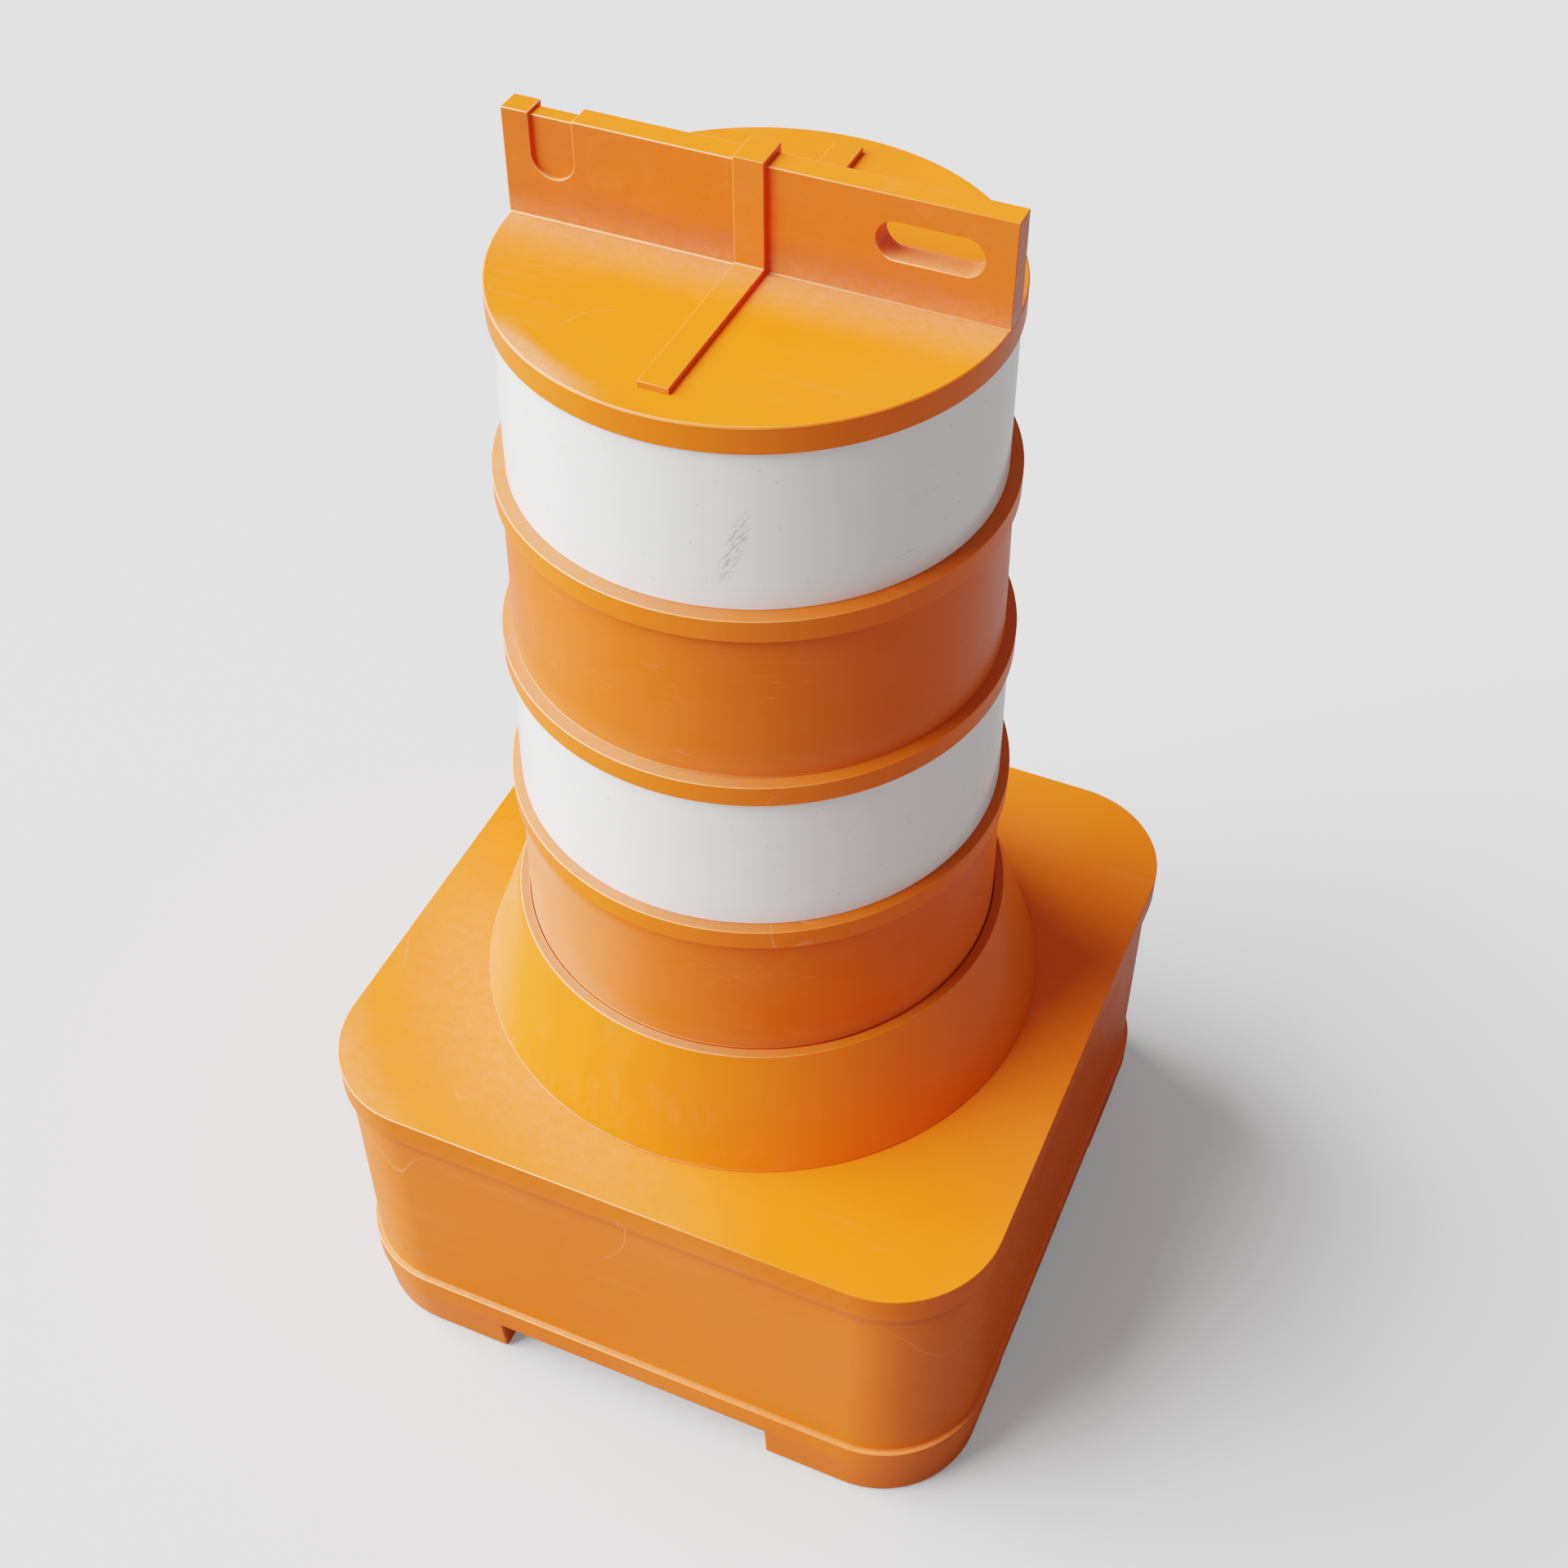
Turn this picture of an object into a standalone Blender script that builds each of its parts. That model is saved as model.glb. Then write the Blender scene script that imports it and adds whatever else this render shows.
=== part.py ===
"""Traffic barrel drum on a square ballast base, built as separate pieces.

Metres, +Z up. The origin is on the ground, at the centre of the base. The handle fin on the
lid runs along X, and the front of the drum faces -Y.
"""

from math import cos, hypot, pi, radians, sin

import bmesh
import bpy
from mathutils import Matrix, Vector

# General
GAP = 0.0003              # clearance between pieces that rest on each other
WALL = 0.005              # wall of the moulded base pieces
DRUM_WALL = 0.004         # wall of the drum
ROUND_STEPS = 56          # sides of a large round piece
CORNER_STEPS = 6          # segments in a corner of the base
SCREW_STEPS = 8           # sides of a screw or of a small hole
PAD_STEPS = 24            # sides of a middle-sized round

# Base: a square with rounded corners, built from rings that share their corner centres
CORNER_CENTRE = 0.2572    # distance of a corner arc's centre from X and from Y
BASE_TOP = 0.4034         # height of the box's top face
LIP_HALF = 0.3768         # half-side of the top lip
LIP_HEIGHT = 0.036
SHELL_HALF = 0.3705       # half-side of the shell's side walls under the lip
SHELL_HALF_LOW = 0.3715   # and where they enter the tray
LEDGE_Z = 0.0931          # top of the tray's flange
FLANGE_HALF = 0.3774
FLANGE_LOW_Z = 0.062      # the flange is upright down to here
FOOT_HALF = 0.3707        # half-side at the feet's lower edge
FOOT_CLEARANCE = 0.002    # how far the grip pads hold the plastic off the ground
CHANNEL_HALF = 0.164      # half-width of each fork channel
CHANNEL_TOP = 0.054
TRAY_FLOOR_TOP = 0.064
FOOT_CENTRE = 0.262       # centre of a foot, from X and from Y
PAD_RADIUS = 0.062
PAD_HEIGHT = 0.008
POCKET_RADIUS = 0.080     # the round hollow inside each foot
POCKET_FLOOR = 0.014

# Ballast
SLAB_HALF = 0.330
SLAB_HEIGHT = 0.070
SLAB_HOLE_RADIUS = 0.050

# Screws
TRAY_SCREW_ALONG = 0.195  # each side has two, this far from its middle
TRAY_SCREW_OUT = 0.3545
TRAY_BOSS_RADIUS = 0.0135
TRAY_BOSS_TOP = 0.150
COLLAR_SCREW_CIRCLE = 0.284
COLLAR_SCREW_COUNT = 6
COLLAR_BOSS_RADIUS = 0.010
COLLAR_BOSS_LOW = 0.380
SHANK_RADIUS = 0.003
HEAD_RADIUS = 0.007
HEAD_HEIGHT = 0.0042

# Collar
LEDGE_D_Z = 0.536         # the ring-shaped ledge at the collar's top
COLLAR_TOP_RADIUS = 0.2602
COLLAR_FOOT_RADIUS = 0.3066
SOCKET_RADIUS = 0.2500
SOCKET_LIP_HEIGHT = 0.020
COLLAR_FLANGE_IN = 0.266
COLLAR_FLANGE_HEIGHT = 0.006

# Seat ring under the drum
SEAT_HEIGHT = 0.006
SEAT_OUT = 0.2485
SEAT_IN = 0.226
SEAT_LIP_OUT = 0.232
SEAT_LIP_HEIGHT = 0.020

# Drum: four bands, with a raised rim between each two
LID_TOP = 1.2817
LID_SKIRT = 0.0259
LID_RADIUS = 0.2286
BAND_HEIGHT = 0.1602
RIM_HEIGHT = 0.0274
RIM_SLOPE = 0.0022        # fall of a rim's top face, from the band out to its edge
RIM_CHAMFER = 0.003
BAND_TOP_RADII = (0.2248, 0.2322, 0.2410, 0.2466)
BAND_LOW_RADII = (0.2259, 0.2353, 0.2433, 0.2490)
RIM_RADII = (0.2387, 0.2465, 0.2533)
SHEET_THICKNESS = 0.0005
SHEET_MARGIN = 0.0006     # sheet edge to rim
SHEET_SEAM = 0.0015       # butt joint at the back
SPIGOT_FOOT = BASE_TOP + SEAT_HEIGHT + 2 * GAP
SPIGOT_FLANGE_IN = 0.2335
SPIGOT_FLANGE_HEIGHT = 0.004
NECK_RADIUS = 0.217
NECK_TOP = 1.2700

# Lid, fin and strap
LID_PLATE = 0.005
PLUG_OUT = 0.209
PLUG_IN = 0.205
PLUG_DEPTH = 0.020
SEAL_OUT = 0.219
SEAL_IN = 0.211
FIN_FRONT = -0.0082
FIN_REAR = 0.0165
FIN_HEIGHT = 0.0975
FIN_WALL = 0.004
FIN_WEBS = (-0.130, -0.045, 0.045, 0.130)
FIN_WEB_HALF = 0.010
FIN_SCREW_DEPTH = 0.026
SLOT_LEFT = 0.1092
SLOT_RIGHT = 0.2024
SLOT_LOW = 0.0391
SLOT_TOP = 0.0740
SADDLE_LEFT = -0.2030
SADDLE_RIGHT = -0.1624
SADDLE_LOW = 0.0400
SADDLE_DEPTH = 0.0044
SADDLE_DROP = 0.0035
STRAP_HALF = 0.0137
STRAP_THICKNESS = 0.0058
STRAP_FRONT = -0.197
STRAP_REAR = 0.204
STRAP_SCREW_INSET = 0.025


def clear_scene():
    """Remove every object, so the model starts from nothing."""
    for item in list(bpy.data.objects):
        bpy.data.objects.remove(item, do_unlink=True)


def make_material(name, colour, roughness, metallic=0.0):
    """A plain material: its colour, roughness and metallic value."""
    made = bpy.data.materials.new(name)
    made.use_nodes = True
    shader = made.node_tree.nodes["Principled BSDF"]
    shader.inputs["Base Color"].default_value = (*colour, 1.0)
    shader.inputs["Roughness"].default_value = roughness
    shader.inputs["Metallic"].default_value = metallic
    made.diffuse_color = (*colour, 1.0)
    return made


def world_place(empty):
    """Where an empty is: they all stand on the axis, with heights kept as world heights."""
    return Vector((0.0, 0.0, empty.location.z))


def make_empty(name, height, parent=None):
    """An empty on the drum's axis, at a height above the ground."""
    empty = bpy.data.objects.new(name, None)
    empty.location = (0.0, 0.0, height)
    bpy.context.collection.objects.link(empty)
    if parent:
        empty.parent = parent
        empty.matrix_parent_inverse = Matrix.Translation(-world_place(parent))
    return empty


def finish_mesh(name, bm):
    """Turn a bmesh into a mesh with outward faces, smooth where it is round."""
    bmesh.ops.recalc_face_normals(bm, faces=bm.faces)
    mesh = bpy.data.meshes.new(name)
    bm.to_mesh(mesh)
    bm.free()
    mesh.shade_smooth()
    mesh.set_sharp_from_angle(angle=radians(30))
    return mesh


def add_piece(name, mesh, material, parent, location=(0.0, 0.0, 0.0), flipped=False):
    """Put one piece in the scene, in world coordinates, under its body's empty."""
    piece = bpy.data.objects.new(name, mesh)
    if not mesh.materials:
        mesh.materials.append(material)
    piece.location = location
    if flipped:
        piece.rotation_euler = (pi, 0.0, 0.0)
    bpy.context.collection.objects.link(piece)
    piece.parent = parent
    piece.matrix_parent_inverse = Matrix.Translation(-world_place(parent))
    return piece


def cut(piece, bm, operation="DIFFERENCE"):
    """Cut, or join, a piece with a helper solid that stays hidden."""
    index = len(piece.modifiers) + 1
    mesh = finish_mesh(f"{piece.name}_helper_{index}", bm)
    helper = bpy.data.objects.new(mesh.name, mesh)
    helper.hide_render = True
    helper.display_type = "WIRE"
    bpy.context.collection.objects.link(helper)
    boolean = piece.modifiers.new(f"shape_{index}", "BOOLEAN")
    boolean.operation = operation
    boolean.solver = "EXACT"
    boolean.object = helper


def revolved(name, profile, steps=ROUND_STEPS, closed=True):
    """Spin an outline of (radius, height) points around the drum's axis."""
    bm = bmesh.new()
    verts = [bm.verts.new((radius, 0.0, height)) for radius, height in profile]
    pairs = list(zip(verts, verts[1:]))
    if closed:
        pairs.append((verts[-1], verts[0]))
    edges = [bm.edges.new(pair) for pair in pairs]
    spin_around_axis(bm, verts + edges, 2 * pi, steps, merge=True)
    bmesh.ops.remove_doubles(bm, verts=bm.verts, dist=1e-6)
    return finish_mesh(name, bm)


def spin_around_axis(bm, geometry, angle, steps, merge=False):
    """Spin geometry around the Z axis through the origin."""
    bmesh.ops.spin(bm, geom=geometry, axis=(0, 0, 1), cent=(0, 0, 0), angle=angle,
                   steps=steps, use_merge=merge, use_duplicate=False)


def base_ring(bm, half_side, height):
    """One ring of vertices around a square with rounded corners."""
    radius = half_side - CORNER_CENTRE
    ring = []
    for quarter in range(4):
        middle_x = CORNER_CENTRE * (1 if quarter in (0, 3) else -1)
        middle_y = CORNER_CENTRE * (1 if quarter in (0, 1) else -1)
        for step in range(CORNER_STEPS + 1):
            angle = (quarter + step / CORNER_STEPS) * pi / 2
            x = middle_x + radius * cos(angle)
            y = middle_y + radius * sin(angle)
            ring.append(bm.verts.new((x, y, height)))
    return ring


def join_rings(bm, first, second):
    """Faces between two rings with the same number of vertices."""
    count = len(first)
    for index in range(count):
        after = (index + 1) % count
        bm.faces.new((first[index], first[after], second[after], second[index]))


def lofted(bm, levels, close_ends=True):
    """A solid through (half-side, height) levels: capped at both ends, or joined end to end."""
    rings = [base_ring(bm, half_side, height) for half_side, height in levels]
    for first, second in zip(rings, rings[1:]):
        join_rings(bm, first, second)
    if close_ends:
        bm.faces.new(rings[0])
        bm.faces.new(rings[-1])
    return rings


def add_cylinder(bm, place, radius, low, high, steps=SCREW_STEPS):
    """Add an upright cylinder, from one height to another."""
    middle = Matrix.Translation((place[0], place[1], (low + high) / 2))
    bmesh.ops.create_cone(bm, cap_ends=True, segments=steps, radius1=radius, radius2=radius,
                          depth=high - low, matrix=middle)


def add_box(bm, low, high):
    """Add a box between two corners."""
    size = [b - a for a, b in zip(low, high)]
    middle = [(a + b) / 2 for a, b in zip(low, high)]
    place = Matrix.Translation(middle) @ Matrix.Diagonal((*size, 1.0))
    bmesh.ops.create_cube(bm, size=1.0, matrix=place)


def add_prism(bm, outline, start, end, across):
    """Extrude a flat outline from one place to another along the X or the Y axis."""
    def corner(pair, place):
        if across == "X":
            return (place, pair[0], pair[1])
        return (pair[0], place, pair[1])

    face = bm.faces.new([bm.verts.new(corner(pair, start)) for pair in outline])
    grown = bmesh.ops.extrude_face_region(bm, geom=[face])
    moved = [item for item in grown["geom"] if isinstance(item, bmesh.types.BMVert)]
    shift = Vector(corner((0.0, 0.0), end - start))
    bmesh.ops.translate(bm, verts=moved, vec=shift)


def arc(centre, radius, start, end, steps):
    """Points on an arc, between two angles in degrees."""
    points = []
    for step in range(steps + 1):
        angle = radians(start + (end - start) * step / steps)
        points.append((centre[0] + radius * cos(angle), centre[1] + radius * sin(angle)))
    return points


def tray_screw_places():
    """Two screws on each side of the base, each in a deep well in a foot."""
    places = []
    for along in (-TRAY_SCREW_ALONG, TRAY_SCREW_ALONG):
        for out in (-TRAY_SCREW_OUT, TRAY_SCREW_OUT):
            places.append((along, out))
            places.append((out, along))
    return places


def collar_screw_places():
    """Evenly spaced screws around the collar's inner flange."""
    places = []
    for index in range(COLLAR_SCREW_COUNT):
        angle = 2 * pi * (index + 0.5) / COLLAR_SCREW_COUNT
        places.append((COLLAR_SCREW_CIRCLE * cos(angle), COLLAR_SCREW_CIRCLE * sin(angle)))
    return places


def screw_mesh(name, length):
    """A round-head screw: its head's face is at z = 0 and its shank points to +Z."""
    socket = 0.45 * HEAD_RADIUS
    profile = [
        (0.0, 0.5 * HEAD_HEIGHT),
        (socket, 0.5 * HEAD_HEIGHT),
        (socket, 0.0),
        (HEAD_RADIUS, 0.0),
        (HEAD_RADIUS, HEAD_HEIGHT),
        (SHANK_RADIUS, HEAD_HEIGHT),
        (SHANK_RADIUS, length),
        (0.0, length),
    ]
    return revolved(name, profile, SCREW_STEPS, closed=False)


def build_base_shell(material, body):
    """The upper half of the box: open below, with a lip at its top and bosses inside."""
    bm = bmesh.new()
    low = TRAY_FLOOR_TOP + GAP
    lip_low = BASE_TOP - LIP_HEIGHT
    outer = lofted(bm, [
        (SHELL_HALF_LOW, low),
        (SHELL_HALF, lip_low - 0.004),
        (LIP_HALF, lip_low),
        (LIP_HALF, BASE_TOP - 0.001),
        (LIP_HALF - 0.001, BASE_TOP),
    ], close_ends=False)
    inner = lofted(bm, [
        (SHELL_HALF_LOW - WALL, low),
        (SHELL_HALF - WALL, BASE_TOP - WALL),
    ], close_ends=False)
    join_rings(bm, outer[0], inner[0])
    bm.faces.new(outer[-1])
    bm.faces.new(inner[-1])
    shell = add_piece("base_shell", finish_mesh("base_shell", bm), material, body)

    bosses = bmesh.new()
    for place in tray_screw_places():
        add_cylinder(bosses, place, TRAY_BOSS_RADIUS, low, TRAY_BOSS_TOP, 12)
    for place in collar_screw_places():
        add_cylinder(bosses, place, COLLAR_BOSS_RADIUS, COLLAR_BOSS_LOW, BASE_TOP - WALL / 2)
    cut(shell, bosses, "UNION")

    holes = bmesh.new()
    hole_radius = SHANK_RADIUS + GAP
    for place in tray_screw_places():
        add_cylinder(holes, place, hole_radius, low - 0.01, TRAY_BOSS_TOP - 0.02)
    for place in collar_screw_places():
        add_cylinder(holes, place, hole_radius, COLLAR_BOSS_LOW + 0.002, BASE_TOP + 0.01)
    cut(shell, holes)


def build_base_tray(material, body):
    """The lower half of the box: a flange round a floor, on four hollow feet."""
    bm = bmesh.new()
    outer = lofted(bm, [
        (FOOT_HALF - 0.004, FOOT_CLEARANCE),
        (FOOT_HALF, FOOT_CLEARANCE + 0.004),
        (FLANGE_HALF - 0.0025, CHANNEL_TOP - 0.003),
        (FLANGE_HALF, FLANGE_LOW_Z),
        (FLANGE_HALF, LEDGE_Z - 0.001),
        (FLANGE_HALF - 0.001, LEDGE_Z),
    ], close_ends=False)
    inner_half = SHELL_HALF_LOW + GAP
    inner = lofted(bm, [(inner_half, LEDGE_Z), (inner_half, TRAY_FLOOR_TOP)], close_ends=False)
    join_rings(bm, outer[-1], inner[0])
    bm.faces.new(outer[0])
    bm.faces.new(inner[-1])
    tray = add_piece("base_tray", finish_mesh("base_tray", bm), material, body)

    reach = FLANGE_HALF + 0.05
    across = bmesh.new()
    add_box(across, (-reach, -CHANNEL_HALF, -0.01), (reach, CHANNEL_HALF, CHANNEL_TOP))
    cut(tray, across)
    along = bmesh.new()
    add_box(along, (-CHANNEL_HALF, -reach, -0.01), (CHANNEL_HALF, reach, CHANNEL_TOP))
    cut(tray, along)

    pockets = bmesh.new()
    for place in foot_places():
        add_cylinder(pockets, place, POCKET_RADIUS, POCKET_FLOOR, TRAY_FLOOR_TOP + 0.01,
                     PAD_STEPS)
        add_cylinder(pockets, place, PAD_RADIUS + 2 * GAP, -0.01, PAD_HEIGHT + GAP, PAD_STEPS)
    cut(tray, pockets)

    holes = bmesh.new()
    for place in tray_screw_places():
        add_cylinder(holes, place, SHANK_RADIUS + GAP, CHANNEL_TOP - 0.01, TRAY_FLOOR_TOP + 0.01)
    cut(tray, holes)
    sinks = bmesh.new()
    for place in tray_screw_places():
        sink_top = CHANNEL_TOP + HEAD_HEIGHT + 3 * GAP
        add_cylinder(sinks, place, HEAD_RADIUS + 2 * GAP, FOOT_CLEARANCE - 0.01, sink_top)
    cut(tray, sinks)


def foot_places():
    """The centres of the four feet."""
    return [(x, y) for x in (-FOOT_CENTRE, FOOT_CENTRE) for y in (-FOOT_CENTRE, FOOT_CENTRE)]


def build_foot_pads(material, body):
    """A round grip pad, sunk into the underside of each foot."""
    edge = 0.0015
    profile = [
        (0.0, PAD_HEIGHT),
        (PAD_RADIUS, PAD_HEIGHT),
        (PAD_RADIUS, edge),
        (PAD_RADIUS - edge, 0.0),
        (0.0, 0.0),
    ]
    mesh = revolved("foot_pad", profile, PAD_STEPS, closed=False)
    for index, (x, y) in enumerate(foot_places(), start=1):
        add_piece(f"foot_pad_{index}", mesh, material, body, (x, y, 0.0))


def build_ballast(material, body):
    """Two slabs on the tray's floor, each with a lifting hole in its middle."""
    edge = 0.006
    for index, name in enumerate(("ballast_slab_lower", "ballast_slab_upper")):
        low = TRAY_FLOOR_TOP + GAP + index * (SLAB_HEIGHT + GAP)
        high = low + SLAB_HEIGHT
        bm = bmesh.new()
        lofted(bm, [
            (SLAB_HALF - edge, low),
            (SLAB_HALF, low + edge),
            (SLAB_HALF, high - edge),
            (SLAB_HALF - edge, high),
        ])
        slab = add_piece(name, finish_mesh(name, bm), material, body)
        hole = bmesh.new()
        add_cylinder(hole, (0.0, 0.0), SLAB_HOLE_RADIUS, low - 0.01, high + 0.01, PAD_STEPS)
        cut(slab, hole)


def build_tray_screws(material, body):
    """Screws driven up through wells in the feet into the shell's bosses."""
    mesh = screw_mesh("tray_screw", 0.055)
    height = CHANNEL_TOP + GAP
    for index, (x, y) in enumerate(tray_screw_places(), start=1):
        add_piece(f"tray_screw_{index}", mesh, material, body, (x, y, height))


def build_collar(material, body):
    """The conical socket: a sloping wall, a lip that guides the drum and a flange below."""
    slope = (COLLAR_FOOT_RADIUS - COLLAR_TOP_RADIUS) / (LEDGE_D_Z - BASE_TOP)
    wall = WALL * hypot(1.0, slope)
    foot = BASE_TOP + GAP
    flange_top = foot + COLLAR_FLANGE_HEIGHT
    under_ledge = LEDGE_D_Z - WALL

    def cone_radius(height):
        return COLLAR_FOOT_RADIUS - slope * (height - BASE_TOP)

    profile = [
        (SOCKET_RADIUS, LEDGE_D_Z),
        (COLLAR_TOP_RADIUS, LEDGE_D_Z),
        (COLLAR_FOOT_RADIUS, foot),
        (COLLAR_FLANGE_IN, foot),
        (COLLAR_FLANGE_IN, flange_top),
        (cone_radius(flange_top) - wall, flange_top),
        (cone_radius(under_ledge) - wall, under_ledge),
        (SOCKET_RADIUS + WALL, under_ledge),
        (SOCKET_RADIUS + WALL, LEDGE_D_Z - SOCKET_LIP_HEIGHT),
        (SOCKET_RADIUS, LEDGE_D_Z - SOCKET_LIP_HEIGHT),
    ]
    collar = add_piece("collar_cone", revolved("collar_cone", profile), material, body)
    holes = bmesh.new()
    for place in collar_screw_places():
        add_cylinder(holes, place, SHANK_RADIUS + GAP, BASE_TOP - 0.01, flange_top + 0.01)
    cut(collar, holes)


def build_collar_screws(material, body):
    """Screws driven down through the collar's flange, from inside the collar."""
    length = 0.024
    mesh = screw_mesh("collar_screw", length)
    height = BASE_TOP + COLLAR_FLANGE_HEIGHT + 2 * GAP + HEAD_HEIGHT
    for index, (x, y) in enumerate(collar_screw_places(), start=1):
        name = f"collar_screw_{index}"
        add_piece(name, mesh, material, body, (x, y, height), flipped=True)


def build_seat_ring(material, body):
    """The rubber ring under the drum, with an upstand that centres the drum's foot."""
    low = BASE_TOP + GAP
    step = low + SEAT_HEIGHT
    profile = [
        (SEAT_IN, step + SEAT_LIP_HEIGHT),
        (SEAT_LIP_OUT, step + SEAT_LIP_HEIGHT),
        (SEAT_LIP_OUT, step),
        (SEAT_OUT, step),
        (SEAT_OUT, low),
        (SEAT_IN, low),
    ]
    add_piece("drum_seat_ring", revolved("drum_seat_ring", profile), material, body)


def band_heights(index):
    """The top and bottom heights of a band, counted from the lid down."""
    top = LID_TOP - LID_SKIRT - index * (BAND_HEIGHT + RIM_HEIGHT)
    low = top - BAND_HEIGHT
    return top, max(low, LEDGE_D_Z)


def skin_depth():
    """How far the drum's wall lies under the outside of a sheet."""
    return SHEET_THICKNESS + GAP


def build_drum_body(material, body):
    """The hollow drum: neck, four bands with rims between them, and a straight foot."""
    shoulder = LID_TOP - LID_SKIRT - GAP
    outer = [(NECK_RADIUS, NECK_TOP), (NECK_RADIUS, shoulder)]
    inner = [(NECK_RADIUS - DRUM_WALL, NECK_TOP), (NECK_RADIUS - DRUM_WALL, shoulder - DRUM_WALL)]
    for index, (top_radius, low_radius) in enumerate(zip(BAND_TOP_RADII, BAND_LOW_RADII)):
        top, low = band_heights(index)
        upper = top_radius - skin_depth()
        lower = low_radius - skin_depth()
        outer.append((upper, min(top, shoulder)))
        outer.append((lower, low))
        inner.append((upper - DRUM_WALL, min(top, shoulder) - DRUM_WALL))
        inner.append((lower - DRUM_WALL, low - DRUM_WALL))
        if index < len(RIM_RADII):
            rim = RIM_RADII[index]
            rim_low = low - RIM_HEIGHT
            outer.append((rim, low - RIM_SLOPE))
            outer.append((rim, rim_low + RIM_CHAMFER))
            outer.append((rim - RIM_CHAMFER, rim_low))
    spigot = BAND_LOW_RADII[-1] - skin_depth()
    outer.append((spigot, SPIGOT_FOOT))
    flange_top = SPIGOT_FOOT + SPIGOT_FLANGE_HEIGHT
    inner.append((spigot - DRUM_WALL, flange_top))
    inner.append((SPIGOT_FLANGE_IN, flange_top))
    inner.append((SPIGOT_FLANGE_IN, SPIGOT_FOOT))
    profile = outer + inner[::-1]
    add_piece("drum_body", revolved("drum_body", profile), material, body)


def build_sheet(name, index, material, body):
    """A strip of sheeting round one band, with its butt joint at the back."""
    top, low = band_heights(index)
    top -= SHEET_MARGIN
    low += SHEET_MARGIN
    top_radius = BAND_TOP_RADII[index]
    low_radius = BAND_LOW_RADII[index]
    bm = bmesh.new()
    corners = [
        (top_radius - SHEET_THICKNESS, top),
        (top_radius, top),
        (low_radius, low),
        (low_radius - SHEET_THICKNESS, low),
    ]
    section = bm.faces.new([bm.verts.new((radius, 0.0, height)) for radius, height in corners])
    seam_angle = SHEET_SEAM / low_radius
    spin_around_axis(bm, [section], 2 * pi - seam_angle, ROUND_STEPS)
    bmesh.ops.rotate(bm, verts=bm.verts, cent=(0, 0, 0),
                     matrix=Matrix.Rotation(pi / 2 + seam_angle / 2, 3, "Z"))
    add_piece(name, finish_mesh(name, bm), material, body)


def build_lid(material, body):
    """The lid: a plate with an outer skirt and an inner plug ring."""
    under = LID_TOP - LID_PLATE
    skirt_low = LID_TOP - LID_SKIRT
    profile = [
        (0.0, LID_TOP),
        (LID_RADIUS - 0.0012, LID_TOP),
        (LID_RADIUS, LID_TOP - 0.0012),
        (LID_RADIUS, skirt_low),
        (LID_RADIUS - WALL, skirt_low),
        (LID_RADIUS - WALL, under),
        (PLUG_OUT, under),
        (PLUG_OUT, under - PLUG_DEPTH),
        (PLUG_IN, under - PLUG_DEPTH),
        (PLUG_IN, under),
        (0.0, under),
    ]
    lid = add_piece("lid", revolved("lid", profile, closed=False), material, body)
    holes = bmesh.new()
    for place in fin_screw_places() + strap_screw_places():
        add_cylinder(holes, place, SHANK_RADIUS + GAP, under - 0.01, LID_TOP + 0.01)
    cut(lid, holes)


def build_lid_seal(material, body):
    """The seal ring that the lid presses onto the drum's neck."""
    low = NECK_TOP + GAP
    high = LID_TOP - LID_PLATE - GAP
    profile = [(SEAL_IN, high), (SEAL_OUT, high), (SEAL_OUT, low), (SEAL_IN, low)]
    add_piece("lid_seal", revolved("lid_seal", profile), material, body)


def fin_screw_places():
    """One screw under each solid web of the fin."""
    middle = (FIN_FRONT + FIN_REAR) / 2
    return [(x, middle) for x in FIN_WEBS]


def strap_screw_places():
    """One screw near each end of the strap."""
    return [(0.0, STRAP_FRONT + STRAP_SCREW_INSET), (0.0, STRAP_REAR - STRAP_SCREW_INSET)]


def saddle_outline():
    """The U shape of the saddle, open above the fin's top."""
    radius = (SADDLE_RIGHT - SADDLE_LEFT) / 2
    centre = (SADDLE_LEFT + radius, fin_foot() + SADDLE_LOW + radius)
    above = fin_foot() + FIN_HEIGHT + 0.01
    curve = arc(centre, radius, 180, 360, 10)
    return [(SADDLE_LEFT, above)] + curve + [(SADDLE_RIGHT, above)]


def slot_outline():
    """The hand slot: straight sides between two half-round ends."""
    radius = (SLOT_TOP - SLOT_LOW) / 2
    height = fin_foot() + SLOT_LOW + radius
    left = arc((SLOT_LEFT + radius, height), radius, 90, 270, 10)
    right = arc((SLOT_RIGHT - radius, height), radius, -90, 90, 10)
    return left + right


def fin_foot():
    """The height of the fin's underside."""
    return LID_TOP + GAP


def fin_pockets():
    """The hollows in the fin, as (left, right, wall on each face, height), open below."""
    full = FIN_HEIGHT - FIN_WALL
    under_slot = SLOT_LOW - FIN_WALL
    thick = SADDLE_DEPTH + FIN_WALL
    webs = FIN_WEBS
    half = FIN_WEB_HALF
    return [
        (SADDLE_LEFT - 0.005, webs[0] - half, thick, full - SADDLE_DROP),
        (webs[0] + half, webs[1] - half, FIN_WALL, full),
        (webs[1] + half, webs[2] - half, FIN_WALL, full),
        (webs[2] + half, SLOT_LEFT - FIN_WALL, FIN_WALL, full),
        (webs[3] + half, SLOT_RIGHT, FIN_WALL, under_slot),
        (SLOT_RIGHT + FIN_WALL, LID_RADIUS - FIN_WALL, FIN_WALL, full),
    ]


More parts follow.
